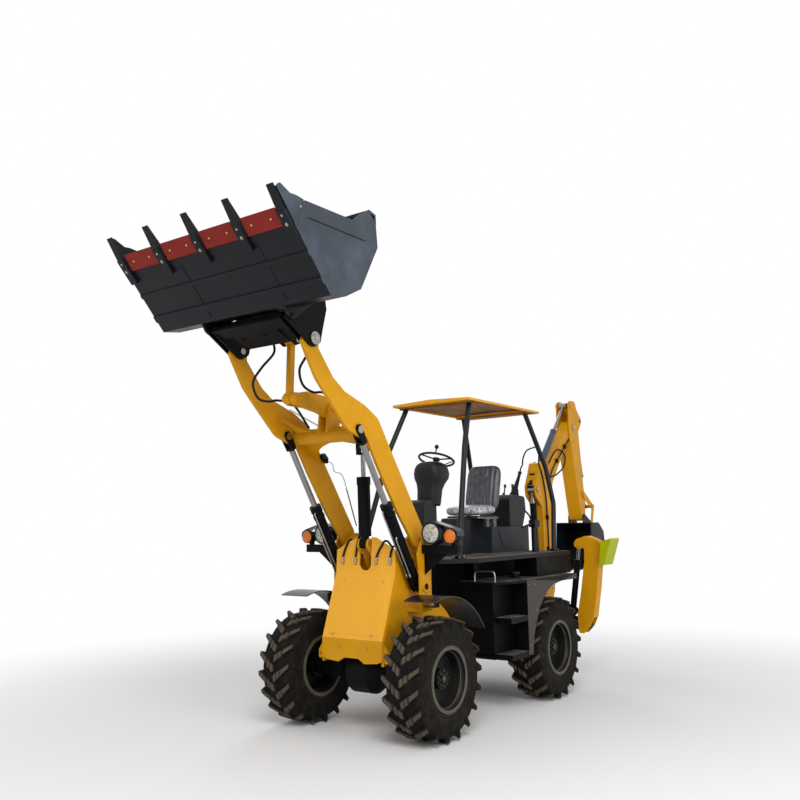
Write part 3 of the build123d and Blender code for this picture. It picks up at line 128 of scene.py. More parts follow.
def paint(name, colour, worn, roughness, metal=0.0, patch_mm=180.0, grain_mm=3.0,
          dirt=0.5, bump_mm=0.15, gloss=0.25, streak=1.0, worn_where=None):
    """A finish with slow patches of wear and a fine grain, both scaled from real millimetres.

    Real grain is a few tenths of a millimetre wide, too fine to show, so it is drawn as coarse
    as grain_mm says. streak below 1 draws the patches out upwards, as rain and dust run.
    worn_where names a point attribute that adds its own share of the worn colour.
    """
    material, tree, shader = new_material(name)
    place = add(tree, "ShaderNodeTexCoord").outputs["Object"]
    drawn = add(tree, "ShaderNodeMapping", Vector=place, Scale=(1.0, 1.0, streak))
    patches = add(tree, "ShaderNodeTexNoise", Vector=drawn.outputs[0], Scale=1000 / patch_mm,
                  Detail=6.0, Roughness=0.62)
    share = add(tree, "ShaderNodeMapRange", i0=patches.outputs["Fac"], i1=0.42, i2=0.75, i3=0.0,
                i4=dirt).outputs["Result"]
    if worn_where:
        own = add(tree, "ShaderNodeAttribute", {"attribute_name": worn_where})
        share = add(tree, "ShaderNodeMath", {"operation": "ADD", "use_clamp": True}, i0=share,
                    i1=own.outputs["Fac"]).outputs[0]
    mix = add(tree, "ShaderNodeMix", {"data_type": "RGBA"}, i0=share, i6=srgb(colour),
              i7=srgb(worn))
    tree.links.new(mix.outputs[2], shader.inputs["Base Color"])
    rough = add(tree, "ShaderNodeMapRange", i0=patches.outputs["Fac"], i1=0.3, i2=0.8,
                i3=max(roughness - 0.06, 0.02), i4=min(roughness + 0.14, 1.0))
    tree.links.new(rough.outputs["Result"], shader.inputs["Roughness"])
    shader.inputs["Metallic"].default_value = metal
    shader.inputs["Specular IOR Level"].default_value = gloss
    if bump_mm:
        grain = add(tree, "ShaderNodeTexNoise", Vector=place, Scale=1000 / grain_mm, Detail=2.0)
        bump = add(tree, "ShaderNodeBump", Height=grain.outputs["Fac"], Strength=0.25,
                   Distance=bump_mm / 1000)
        tree.links.new(bump.outputs["Normal"], shader.inputs["Normal"])
    return material


# Two-part enamel on welded plate: warm yellow, even, with soft highlights and a little dust
YELLOW = paint("machine yellow enamel, sprayed", "#D49608", "#C28309", 0.42, gloss=0.2)
# The same on the pressed cover, one tone paler as a painted highlight for the faces that look up
# and forward, its dust drawn out downwards by rain
YELLOW_PANEL_LIT = paint("pressed cover enamel, sprayed", "#EFAE34", "#E29F28", 0.42, dirt=0.45,
                     streak=0.4)
# Glass fibre roof: a smooth gel coat above, with a clearer highlight than the enamel
CANOPY = paint("canopy gel coat, moulded", "#E29E22", "#C9861A", 0.36, dirt=0.4)
# Its underside left rough from the lay-up: dull, painted a darker brown as shade, in broad stains
CANOPY_UNDER_SHADE = paint("canopy underside, rough moulding", "#8F5A1E", "#5C4630", 0.6, dirt=0.8,
                     gloss=0.15, patch_mm=320)
# Chassis enamel: nearly black, so that only edges and bevels catch light
BLACK = paint("chassis black enamel, sprayed", "#050608", "#101011", 0.5, gloss=0.1)
# Canopy posts: a cooler black whose round tubes show a long narrow highlight
POST_BLACK = paint("tube black enamel, sprayed", "#101318", "#1E2126", 0.42, dirt=0.4)
# Mudguards: the glossiest black, which mirrors the sky along its bend
FENDER_BLACK = paint("mudguard enamel, sprayed", "#131519", "#2C2E32", 0.3, gloss=0.45)
# Deck: black with grey scuffs where boots have been
DECK_GREY = paint("deck enamel, sprayed", "#0A0B0E", "#1A1B1F", 0.5, dirt=0.6, gloss=0.2,
                  patch_mm=240)
# Flat tops: road dust dried on the enamel, pale, dull and patchy
DUSTY_TOP = paint("black enamel under dried dust", "#3E3C39", "#8A8377", 0.75, dirt=1.0,
                  gloss=0.1, patch_mm=260, grain_mm=5, bump_mm=0.3)
# Both buckets: blue-black, with faint upright streaks
BUCKET = paint("bucket charcoal enamel, sprayed", "#0E1116", "#1F222A", 0.45, gloss=0.2,
               streak=0.5)
# Bucket sides: they face the sky, and its reflection is painted on them as a mottled slate grey
BUCKET_SIDE_SHEEN = paint("bucket side charcoal enamel, sprayed", "#2F3640", "#4E5866", 0.4, dirt=0.9,
                    gloss=0.35, patch_mm=420)
# Arched side panel: black enamel with its sheen painted in as a warm grey beside the blacks
SIDE_PANEL_SHEEN = paint("side panel black enamel, painted sheen", "#39342D", "#4E483F", 0.5, dirt=0.6, gloss=0.2,
              streak=0.5)
# Tyre rubber: near black in the grooves, brown with dried dust on the lug tops
RUBBER = paint("tyre rubber, moulded", "#131211", "#5F554A", 0.85, dirt=0.16, patch_mm=90,
               gloss=0.12, grain_mm=6, bump_mm=0.4, worn_where="wear")
# Wheel discs: charcoal with brown dust
RIM = paint("rim charcoal enamel, sprayed", "#121213", "#2C2924", 0.5, dirt=0.7)
# Rim flanges: painted pale as a highlight, so that a light ring parts disc from tyre
RIM_HIGHLIGHT = paint("rim flange enamel, painted highlight", "#4A463E", "#6B6253", 0.5, dirt=0.7, gloss=0.3)
# Cylinder rods: one clear dark and bright band along the rod
CHROME = paint("hard chrome, ground", "#8E8C8B", "#77736E", 0.2, metal=1.0, gloss=0.5, bump_mm=0)
# Pipes, pins and bolts: soft grey glints
STEEL = paint("zinc plated steel, turned", "#A9A69F", "#7E7B74", 0.32, metal=1.0, dirt=0.4,
              gloss=0.5, bump_mm=0)
# Bolts of the cover and wear plates: small straw-coloured dots
BRASS = paint("yellow passivated zinc bolt", "#D2B163", "#98793A", 0.4, metal=1.0, dirt=0.4,
              gloss=0.5, bump_mm=0)
# The dipper's cylinder: the one blue part
SLATE = paint("slate blue enamel, sprayed", "#44505F", "#333E4C", 0.42, dirt=0.4)
# Console, wheel and levers: black with a fine grain that spreads the highlight
PLASTIC = paint("black ABS, moulded grain", "#0B0D10", "#1B1E22", 0.5, dirt=0.4, gloss=0.3,
                grain_mm=2, bump_mm=0.3)
# Seat plinth and covers: the same grain, a shade bluer
SLATE_PLASTIC = paint("dark slate ABS cover, moulded", "#181C21", "#282E35", 0.45, gloss=0.3,
                      grain_mm=2, bump_mm=0.3)
# Wear plates between the teeth: flat dark red
WEAR_RED = paint("wear plate red oxide", "#8C2A22", "#6B2620", 0.55, gloss=0.15)
# Stabiliser pads: a sour green beside the yellow
PAD_GREEN = paint("foot pad yellow green enamel", "#B0B604", "#979C0A", 0.45, dirt=0.4, gloss=0.2)
# Hoses and gaiters: the deepest black
HOSE = paint("hydraulic hose, wrapped rubber", "#08080A", "#151517", 0.5, dirt=0.4, gloss=0.2)
# Engine block: black with oily brown dust
DUSTY_ENGINE = paint("cast iron, painted black", "#0D0D0D", "#28251F", 0.6, dirt=0.8, gloss=0.15)


def lens(name, colour, flute_shade, flute_mm, painted_glow):
    """Pressed glass or plastic: flutes across the face, a painted highlight on their crowns and
    painted shade between, with a faint painted emission.
    """
    material, tree, shader = new_material(name)
    place = add(tree, "ShaderNodeTexCoord").outputs["Object"]
    cells = add(tree, "ShaderNodeTexVoronoi", {"feature": "SMOOTH_F1"}, Vector=place,
                Scale=1000 / flute_mm, Randomness=0.6)
    share = add(tree, "ShaderNodeMapRange", i0=cells.outputs["Distance"], i1=0.15, i2=0.7, i3=0.0,
                i4=1.0)
    mix = add(tree, "ShaderNodeMix", {"data_type": "RGBA"}, i0=share.outputs["Result"],
              i6=srgb(colour), i7=srgb(flute_shade))
    tree.links.new(mix.outputs[2], shader.inputs["Base Color"])
    tree.links.new(mix.outputs[2], shader.inputs["Emission Color"])
    shader.inputs["Emission Strength"].default_value = painted_glow
    shader.inputs["Roughness"].default_value = 0.1
    bump = add(tree, "ShaderNodeBump", Height=cells.outputs["Distance"], Strength=0.6,
               Distance=0.002)
    tree.links.new(bump.outputs["Normal"], shader.inputs["Normal"])
    return material


# Head lamps: pressed glass over a bright bowl, painted pale as the bowl's reflection, with a grey
# net of painted shade between the cells
LAMP_GLASS = lens("lamp glass, pressed", "#DAD7CC", "#77756F", 17, 0.05)
# Turn lamps: saturated orange with finer cells, darker between them as painted shade
LAMP_AMBER = lens("amber polycarbonate, moulded", "#EE860C", "#B04A06", 9, 0.05)


def cushion_vinyl(name, colour, film_sheen, sheen_mm, share_low, share_high):
    """Vinyl under clear film: its sheen along the creases is painted in as pale broken streaks."""
    material, tree, shader = new_material(name)
    place = add(tree, "ShaderNodeTexCoord").outputs["Object"]
    drawn = add(tree, "ShaderNodeMapping", Vector=place, Scale=(1.0, 2.2, 1.0))
    folds_and_sheen = add(tree, "ShaderNodeTexNoise", Vector=drawn.outputs[0], Scale=1000 / sheen_mm,
                Detail=5.0, Distortion=1.6)
    share = add(tree, "ShaderNodeMapRange", i0=folds_and_sheen.outputs["Fac"], i1=share_low, i2=share_high,
                i3=0.0, i4=1.0)
    mix = add(tree, "ShaderNodeMix", {"data_type": "RGBA"}, i0=share.outputs["Result"],
              i6=srgb(colour), i7=srgb(film_sheen))
    tree.links.new(mix.outputs[2], shader.inputs["Base Color"])
    shader.inputs["Roughness"].default_value = 0.34
    bump = add(tree, "ShaderNodeBump", Height=folds_and_sheen.outputs["Fac"], Strength=0.5, Distance=0.003)
    tree.links.new(bump.outputs["Normal"], shader.inputs["Normal"])
    return material


# Backrest: grey vinyl, with the film's sheen painted in as paler upright streaks along its creases
BACK_VINYL = cushion_vinyl("backrest vinyl, heat sealed", "#3A3D44", "#6E7178", 60, 0.5, 0.8)
# Cushion: its film's sheen is painted nearly white in broken streaks
SEAT_VINYL = cushion_vinyl("cushion vinyl under film", "#6F7076", "#D5D4D8", 45, 0.4, 0.62)

# Each finish with the solids that have it all over
FINISHES = (
    (YELLOW, "front_frame loader_arms rocker tilt_link boom dipper bellcrank bucket_link "
             "swing_post stabiliser_leg_left stabiliser_leg_right"),
    (YELLOW_PANEL_LIT, "front_panel"),
    (CANOPY_UNDER_SHADE, "canopy_roof"),
    (BLACK, "rear_frame engine_cover rear_axle front_axle hoe_mount lift_barrels tilt_barrel "
            "boom_barrel hoe_bucket_barrel stabiliser_barrel_left stabiliser_barrel_right "
            "quick_hitch side_box_left side_box_right head_lamps"),
    (DUSTY_ENGINE, "engine"),
    (DECK_GREY, "deck"),
    (POST_BLACK, "canopy_posts"),
    (BUCKET, "bucket hoe_bucket bucket_edge"),
    (FENDER_BLACK, "front_fenders"),
    (SLATE, "dipper_barrel"),
    (BACK_VINYL, "seat_pads"),
    (PLASTIC, "steering_wheel console hoe_controls"),
    (SLATE_PLASTIC, "seat_base"),
    (CHROME, "lift_rods tilt_rod boom_rod dipper_rod hoe_bucket_rod stabiliser_rod_left "
             "stabiliser_rod_right"),
    (STEEL, "hitch_pins rocker_pin link_pin tilt_base_pin"),
)


def finish_node(node, material):
    """Gives a solid one finish all over."""
    slots = NODES[node].data.materials
    slots.clear()
    slots.append(material)


def finish_zone(node, material, inside):
    """Gives the faces of a solid another finish where inside is true.

    inside takes the faces' centres and normals, centres in millimetres from the front axle.
    """
    mesh = NODES[node].data
    count = len(mesh.polygons)
    centres = np.empty(count * 3)
    normals = np.empty(count * 3)
    mesh.polygons.foreach_get("center", centres)
    mesh.polygons.foreach_get("normal", normals)
    places = (centres.reshape(-1, 3) - (FRONT_AXLE_X, 0, 0)) * 1000
    slots = np.zeros(count, dtype=np.int32)
    mesh.polygons.foreach_get("material_index", slots)
    mesh.materials.append(material)
    slots[inside(places, normals.reshape(-1, 3))] = len(mesh.materials) - 1
    mesh.polygons.foreach_set("material_index", slots)


def near(place, reach):
    """Faces whose centre is within reach of a place (X, Z), seen from the side."""
    return lambda at, facing: np.hypot(at[:, 0] - place[0], at[:, 2] - place[1]) < reach


def off_tooth(at, facing):
    """Faces of the wear plates, which lie halfway between the teeth."""
    across = np.abs(at[:, 1])
    from_tooth = np.abs(across - np.round(across / TOOTH_PITCH) * TOOTH_PITCH)
    return (from_tooth > 50) & (across < 890)


def wheel_places():
    """The four wheels: end, side, centre, and the sign of their Y."""
    for end, x in (("front", 0.0), ("rear", -WHEELBASE)):
        for sign, side in SIDES:
            yield end, side, (x, sign * TRACK_HALF, TYRE_R), sign


def finish_solids():
    """Every solid gets its finish, and its zones where the paint changes."""
    for material, nodes in FINISHES:
        for node in nodes.split():
            finish_node(node, material)
    for end, side, centre, _ in wheel_places():
        finish_node(f"tyre_{end}_{side}", RUBBER)
        finish_node(f"rim_{end}_{side}", RIM)
        # The rim's outer ring takes the pale painted highlight
        finish_zone(f"rim_{end}_{side}", RIM_HIGHLIGHT,
                    lambda at, facing: np.hypot(at[:, 0] - centre[0], at[:, 2] - TYRE_R) > 256)
    # The cover's edges and its lower band are the frame's yellow, so the paler painted highlight
    # stays on the faces that look up and forward
    finish_zone("front_panel", YELLOW, lambda at, facing: (facing[:, 2] < 0.2) &
                ((facing[:, 0] < 0.5) | (at[:, 2] < 840)))
    finish_zone("bucket_edge", WEAR_RED, off_tooth)
    # The bucket's side faces take the painted reflection of the sky
    for node in ("bucket_edge", "bucket"):
        finish_zone(node, BUCKET_SIDE_SHEEN, lambda at, facing: (np.abs(at[:, 1]) > BUCKET_HALF) &
                    (np.abs(facing[:, 1]) > 0.7))
    # The lock cylinder's short rod
    finish_zone("quick_hitch", CHROME, lambda at, facing: (at[:, 1] > 121) & (at[:, 1] < 201) &
                near((1430, 3510), 24)(at, facing))
    # Road dust lies on the deck
    finish_zone("deck", DUSTY_TOP,
                lambda at, facing: (facing[:, 2] > 0.9) & (at[:, 2] > DECK_TOP - 2))
    # The legs' pads, the arched side panels with their painted sheen, and dust on the side boxes
    # below the deck
    for side in ("left", "right"):
        finish_zone(f"stabiliser_leg_{side}", PAD_GREEN,
                    lambda at, facing: (np.abs(at[:, 1]) > 1022) & (at[:, 2] > 1340))
        finish_zone(f"side_box_{side}", SIDE_PANEL_SHEEN,
                    lambda at, facing: (np.abs(at[:, 1]) > SIDE_Y - 9) & (at[:, 0] < -1480) &
                    (at[:, 2] > 520) & (at[:, 2] < 1240))
        finish_zone(f"side_box_{side}", DUSTY_TOP,
                    lambda at, facing: (facing[:, 2] > 0.9) & (at[:, 2] < 1280))
    # The roof is rough, and painted darker as shade, only underneath
    finish_zone("canopy_roof", CANOPY,
                lambda at, facing: (facing[:, 2] > -0.3) & (at[:, 2] > 3115))
    # The rods' eyes are black, with the pins bare in them
    finish_zone("lift_rods", BLACK, near(LIFT_EYE, 150))
    finish_zone("lift_rods", STEEL, lambda at, facing: near(LIFT_EYE, 36)(at, facing) &
                (np.abs(np.abs(at[:, 1]) - ARM_Y) > 41))
    finish_zone("tilt_rod", BLACK, near(ROCKER_REAR, 165))


# How shapes are made


def grid_faces(rows, columns, close_rows=False, close_columns=False):
    """Quads of a grid of points; a closed direction joins its last line to its first."""
    row = np.arange(rows if close_rows else rows - 1)[:, None]
    column = np.arange(columns if close_columns else columns - 1)[None, :]
    next_row = (row + 1) % rows
    next_column = (column + 1) % columns
    corners = (row * columns + column, row * columns + next_column,
               next_row * columns + next_column, next_row * columns + column)
    return np.stack(corners, axis=-1).reshape(-1, 4)


def inside_out(points, faces):
    """True where the faces enclose a negative volume: the sum of corner triple products."""
    total = 0.0
    for group in faces:
        first = points[group[:, 0]]
        for step in range(1, group.shape[1] - 1):
            second = points[group[:, step]]
            third = points[group[:, step + 1]]
            total += np.einsum("ij,ij->", first, np.cross(second, third))
    return total < 0


def piece(name, shapes, material, body, smooth=True, bevel_mm=0.0):
    """One mesh from closed shapes (points in millimetres, groups of faces), riding on its body.

    Its slot is that of its material.
    """
    all_points = []
    all_corners = []
    sizes = []
    start = 0
    for points, faces in shapes:
        points = here(points)
        turned_in = inside_out(points - points.mean(axis=0), faces)
        for group in faces:
            group = group[:, ::-1] if turned_in else group
            all_corners.append((group + start).ravel())
            sizes.append(np.full(len(group), group.shape[1]))
        all_points.append(points)
        start += len(points)
    points = np.vstack(all_points).astype(np.float32)
    corners = np.concatenate(all_corners).astype(np.int32)
    sizes = np.concatenate(sizes)
    mesh = bpy.data.meshes.new(name)
    mesh.vertices.add(len(points))
    mesh.vertices.foreach_set("co", points.ravel())
    mesh.loops.add(len(corners))
    mesh.loops.foreach_set("vertex_index", corners)
    mesh.polygons.add(len(sizes))
    mesh.polygons.foreach_set("loop_start", (np.cumsum(sizes) - sizes).astype(np.int32))
    mesh.polygons.foreach_set("use_smooth", np.full(len(sizes), smooth))
    mesh.update(calc_edges=True)
    mesh.materials.append(material)
    thing = bpy.data.objects.new(name, mesh)
    COLLECTION.objects.link(thing)
    if bevel_mm:
        edge = thing.modifiers.new("broken edges", "BEVEL")
        edge.width = bevel_mm / 1000
        edge.segments = 2
        edge.limit_method = "ANGLE"
    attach(thing, body)
    return thing


def unit(vector):
    """A vector of length one, or an array of them."""
    vector = np.asarray(vector, float)
    return vector / np.linalg.norm(vector, axis=-1, keepdims=True)


def across(axis):
    """Two directions square to an axis: u, then v = axis x u."""
    axis = unit(axis)
    other = LEFT if abs(axis[1]) < 0.8 else FORWARD
    u = unit(np.cross(other, axis))
    return u, np.cross(axis, u)


def ring_solid(rings):
    """Closes a stack of rings with a fan at each end: the rings are rows of one grid."""
    rows, steps = rings.shape[:2]
    points = np.vstack([rings.reshape(-1, 3), rings[0].mean(axis=0), rings[-1].mean(axis=0)])
    step = np.arange(steps)
    following = (step + 1) % steps
    low = np.stack([np.full(steps, rows * steps), following, step], axis=-1)
    top = (rows - 1) * steps
    high = np.stack([np.full(steps, rows * steps + 1), top + step, top + following], axis=-1)
    return points, [grid_faces(rows, steps, False, True), np.vstack([low, high])]


def turned(profile, centre, axis, steps=24):
    """A profile (along, radius) round an axis a: centre + along a + radius (u cos t + v sin t)."""
    profile = np.asarray(profile, float)
    u, v = across(axis)
    turn = np.linspace(0, 2 * np.pi, steps, endpoint=False)
    circle = np.cos(turn)[:, None] * u + np.sin(turn)[:, None] * v
    along = profile[:, 0, None, None] * unit(axis)
    return ring_solid(np.asarray(centre, float) + along + profile[:, 1, None, None] * circle)


def hoop(profile, centre, axis, steps=24):
    """A ring: a closed profile (along, radius) carried round an axis, open at its middle."""
    points = turned(profile, centre, axis, steps)[0][:-2]
    return points, [grid_faces(len(profile), steps, True, True)]


def torus(centre, radius, wire, steps, parts):
    """A round ring about an axis across the machine: its wire is a circle of angle b.

    A point lies radius + wire cos b out from the axis, and wire sin b aside.
    """
    turn = (np.arange(steps) * 2 * np.pi / steps)[:, None]
    bead = (np.arange(parts) * 2 * np.pi / parts)[None, :]
    out = radius + wire * np.cos(bead)
    points = np.stack([out * np.sin(turn), wire * np.sin(bead) + 0 * turn, out * np.cos(turn)],
                      axis=-1)
    return points.reshape(-1, 3) + centre, [grid_faces(steps, parts, True, True)]


def through(places, parts=8):
    """A smooth line through places: between two of them it is the Catmull-Rom cubic."""
    p = np.asarray(places, float)
    p = np.vstack([2 * p[0] - p[1], p, 2 * p[-1] - p[-2]])
    t = np.linspace(0, 1, parts, endpoint=False)[None, :, None]
    a, b, c, d = (p[i:len(p) - 3 + i][:, None, :] for i in range(4))
    line = 0.5 * (2 * b + (c - a) * t + (2 * a - 5 * b + 4 * c - d) * t ** 2 +
                  (3 * b - a - 3 * c + d) * t ** 3)
    return np.vstack([line.reshape(-1, 3), p[-2]])


def level(y, *places):
    """Places (X, Z) in one upright plane across the machine at Y."""
    return [(x, y, z) for x, z in places]


def tube(places, radius, parts=8, steps=10):
    """A round tube along a smooth line: rings square to it, their angle held by one direction."""
    line = through(places, parts)
    tangent = unit(np.gradient(line, axis=0))
    spread = np.linalg.svd(line - line.mean(axis=0) + 1e-6, full_matrices=False)[2]
    held = spread[2]
    if np.abs(tangent @ held).max() > 0.95:
        held = spread[1]
    u = unit(np.cross(tangent, held))
    v = np.cross(tangent, u)
    turn = np.linspace(0, 2 * np.pi, steps, endpoint=False)[None, :, None]
    return ring_solid(line[:, None, :] + radius * (np.cos(turn) * u[:, None] +
                                                   np.sin(turn) * v[:, None]))


def slab(outline, origin, right, up, thickness):
    """A flat plate: an outline on the plane that right and up span, carried square to it."""
    outline = np.asarray(outline, float)
    count = len(outline)
    right = unit(right)
    up = unit(up)
    face = np.asarray(origin, float) + outline[:, :1] * right + outline[:, 1:] * up
    number = np.arange(count)[None, :]
    return (np.vstack([face, face + thickness * np.cross(right, up)]),
            [grid_faces(2, count, False, True), np.vstack([number[:, ::-1], number + count])])


def plate(outline, y0, y1):
    """A flat plate seen from the side: an outline (X, Z) between two places across."""
    return slab(outline, (0, y0, 0), FORWARD, UPWARD, y0 - y1)


def oblong(half, low, high):
    """A plain rectangle's outline: half to each side, from low to high."""
    return [(-half, low), (half, low), (half, high), (-half, high)]


def rounded(half_x, low, high, radius, parts=6):
    """A rectangle's outline with round corners: a quarter circle about each corner's centre."""
    turn = np.linspace(0, np.pi / 2, parts)
    corners = []
    for number, (x, y) in enumerate(((half_x, high), (-half_x, high), (-half_x, low),
                                     (half_x, low))):
        angle = turn + number * np.pi / 2
        middle = (x - np.sign(x) * radius, y - radius if y == high else y + radius)
        corners.append(np.stack([middle[0] + radius * np.cos(angle),
                                 middle[1] + radius * np.sin(angle)], axis=-1))
    return np.vstack(corners)


def loft(sections, power=0.5, steps=48):
    """A rounded box through sections (Z, middle X, half X, half Y), each a squared-off oval."""
    sections = np.asarray(sections, float)
    turn = np.linspace(0, 2 * np.pi, steps, endpoint=False)[None, :]
    x = np.sign(np.cos(turn)) * np.abs(np.cos(turn)) ** power
    y = np.sign(np.sin(turn)) * np.abs(np.sin(turn)) ** power
    rings = np.stack([sections[:, 1:2] + sections[:, 2:3] * x, sections[:, 3:4] * y,
                      sections[:, :1] + 0 * turn], axis=-1)
    return ring_solid(rings)


def hexagon(place, axis, size, height):
    """A bolt's head on its washer: a six-sided profile with a broken crown."""
    head = turned([(0, size * 0.62), (height * 0.8, size * 0.62), (height, size * 0.5)], place,
                  axis, 6)
    washer = turned([(0, size * 0.85), (height * 0.2, size * 0.85)], place, axis, 16)
    return [washer, head]


def bolts(name, places, axis, size, height, material, body):
    """Several bolts that look the same way, as one piece."""
    shapes = [shape for place in places for shape in hexagon(place, axis, size, height)]
    return piece(name, shapes, material, body, smooth=False)


# Tyres

# Across the tread, from the middle of the crown to the bead (Y, radius): the bare carcass, and
# the same places on top of a lug
CARCASS = np.array([(0, 494), (70, 494), (158, 476), (172, 452), (177, 400), (178, 350),
                    (168, 300), (150, 262)], float)
LUG_TOP = np.array([(0, 525), (70, 525), (184, 515), (186, 455), (178, 400), (178, 350),
                    (168, 300), (150, 262)], float)
# Where a lug's columns fall: 0 to 1 is the first stretch of CARCASS, 1 to 2 the second
LUG_COLUMNS = np.array([0.0, 0.04, 0.085, 0.11, 0.3, 0.55, 0.6, 0.63, 0.68, 0.72, 0.75, 1.0, 1.19,
                        1.22, 1.27, 1.31, 1.34, 1.55, 1.78, 1.92, 2.0, 2.25, 2.6, 2.85, 3.0, 3.2,
                        3.4, 3.5, 3.6, 3.8, 4.0, 4.3, 4.45, 4.6, 4.75, 4.9, 5.1, 5.3, 5.45, 5.6,
                        5.75, 5.9, 6.2, 6.5, 6.7, 6.85, 7.0])
# The sidewall's raised rings: radius, half width, height
WALL_RINGS = ((330, 4, 1), (395, 3, 1), (290, 5, 1.4))
# Rows along one lug, from its middle, close together on its flanks
LUG_EDGE = np.array([-35, -33, -31, -29, -27, -25, -23, -21, -18, -9, 0, 9, 18, 21, 23, 25, 27, 29,
                     31, 33, 35])


def smooth_step(value, low, high):
    """0 below low, 1 above high, and t t (3 - 2 t) between them."""
    t = np.clip((value - low) / (high - low), 0, 1)
    return t * t * (3 - 2 * t)


def tyre(end, side, centre, sign):
    """A tractor tyre on a grid of rows round it and columns across it, all four rolling one way.

    A point lies between the carcass and the lug's top by the lug's share. The rows slant as the
    lugs do, by 130 mm between the tread's middle and its edge, so that lug edges follow grid
    lines. The lugs of one half stand half a pitch after those of the other, each is broader
    towards the middle, and two narrow grooves cut it into blocks. Low rings stand on the sidewall.
    """
    stretch = np.arange(len(CARCASS))
    low, top = (np.stack([np.interp(LUG_COLUMNS, stretch, line[:, i]) for i in (0, 1)], axis=-1)
                for line in (CARCASS, LUG_TOP))
    low, top = (np.vstack([half[:0:-1] * (-1, 1), half]) for half in (low, top))
    pitch = 2 * np.pi * TYRE_R / LUG_COUNT
    one_pitch = np.concatenate([LUG_EDGE, (43, 50), LUG_EDGE + pitch / 2, (135, 142)])
    along = (one_pitch[None, :] + pitch * np.arange(LUG_COUNT)[:, None]).ravel()[:, None]
    reach = np.abs(top[None, :, 0])
    right_hand = top[None, :, 0] < 0
    from_lug = np.where(right_hand, along - pitch / 2, along)
    from_lug = np.abs((from_lug + pitch / 2) % pitch - pitch / 2)
    half = 35 - 9 * smooth_step(reach, 60, 130)
    share = 1 - smooth_step(from_lug, half - 6, half)
    share = share * smooth_step(reach, 2, 8)
    for groove in (46.0, 92.5):
        share = share * (0.25 + 0.75 * smooth_step(np.abs(reach - groove), 3, 6))
    section = low[None] + share[..., None] * (top - low)[None]
    radius = section[..., 1]
    ring = sum(high * np.exp(-((radius - at) / wide) ** 2) for at, wide, high in WALL_RINGS)
    y = section[..., 0] + np.sign(section[..., 0]) * 3.0 * ring * (reach > 140)
    slant = -65 + 130 * (np.clip(reach, 6, 186) - 6) / 180
    angle = (along + slant) / TYRE_R
    points = np.stack([radius * np.sin(angle), y, radius * np.cos(angle)], axis=-1)
    rows, columns = points.shape[:2]
    points = points * (-1, sign, 1) + centre
    tread = piece(f"tyre_tread_{end}_{side}",
                  [(points.reshape(-1, 3), [grid_faces(rows, columns, True, True)])],
                  RUBBER, f"wheel_{end}_{side}_body")
    wear = tread.data.attributes.new("wear", "FLOAT", "POINT")
    crown = share * smooth_step(radius, 498, 520) * 0.8 + 0.25 * smooth_step(ring, 0.3, 1.0)
    wear.data.foreach_set("value", crown.ravel().astype(np.float32))
    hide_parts(f"tyre_{end}_{side}")


def wheel_details(end, side, centre, sign):
    """Beads of the rim's flange, studs with their nuts' domes, and the tyre's valve."""
    x, y, z = centre
    body = f"wheel_{end}_{side}_body"
    shapes = [torus((x, y + sign * inset, z), radius, 4, 72, 8)
              for inset, radius in ((173, 279), (128, 240))]
    # The flange's beads carry the same painted highlight
    piece(f"rim_beads_{end}_{side}", shapes, RIM_HIGHLIGHT, body)
    studs = []
    for turn in np.arange(8) * np.pi / 4:
        stud = (x + 64 * np.sin(turn), y + sign * 106, z + 64 * np.cos(turn))
        studs.append(turned([(0, 6), (7, 6), (9, 4)], stud, (0, sign, 0), 10))
    studs.append(turned([(0, 22), (3, 20), (5, 10)], (x, y + sign * 111, z), (0, sign, 0), 20))
    # The studs and hub cap take the same pale painted highlight
    piece(f"wheel_studs_{end}_{side}", studs, RIM_HIGHLIGHT, body)
    valve = [tube([(x + 200, y + sign * 34, z + 90), (x + 204, y + sign * 60, z + 94),
                   (x + 200, y + sign * 84, z + 98)], 4.5, 4, 8)]
    piece(f"tyre_valve_{end}_{side}", valve, HOSE, body)


# Lamps


def domed(place, radius, foot, bulge, power, steps):
    """A lens that stands bulge (1 - (r / radius) ^ power) above its rim and foot below it."""
    out = np.linspace(1, 0, 7)[:-1]
    dome = np.stack([bulge * (1 - out ** power), radius * out], axis=-1)
    return turned([(-foot, radius), *dome, (bulge, 2)], place, FORWARD, steps)


def lamps():
    """Bulging glasses in black collars, turn lamps beside them, and the hood over both."""
    glass = []
    amber = []
    collars = []
    hoods = []
    hood = [(548, 1800), (566, 1840), (600, 1866), (650, 1876), (706, 1862), (880, 1812),
            (925, 1786), (936, 1740), (930, 1740), (918, 1781), (876, 1804), (704, 1853),
            (650, 1867), (604, 1857), (573, 1834), (556, 1797)]
    for sign in (1, -1):
        y = sign * LAMP_Y
        glass.append(domed((LAMP_FACE + 4, y, LAMP_Z), 86, 3, 12, 2, 48))
        collars.append(turned([(-30, 101), (6, 101), (10, 98), (10, 90), (4, 87), (2, 84)],
                              (LAMP_FACE, y, LAMP_Z), FORWARD, 48))
        collars.append(turned([(0, 60), (8, 84), (30, 98), (60, 103)], (-235, y, LAMP_Z), FORWARD,
                              40))
        y = sign * TURN_LAMP_Y
        amber.append(domed((LAMP_FACE + 6, y, TURN_LAMP_Z), 61, 14, 10, 3, 40))
        collars.append(turned([(-20, 65), (-5, 65), (-3, 63), (-3, 60)],
                              (LAMP_FACE, y, TURN_LAMP_Z), FORWARD, 40))
        hoods.append(slab(hood, (-225, 0, 0), (0, sign, 0), UPWARD, sign * 118))
    piece("lamp_hoods", hoods, FENDER_BLACK, "front_body", False, 1.0)
    piece("head_lamp_glass", glass, LAMP_GLASS, "front_body")
    piece("turn_lamp_glass", amber, LAMP_AMBER, "front_body")
    piece("lamp_collars", collars, PLASTIC, "front_body")


# Hoses, pipes and their fittings


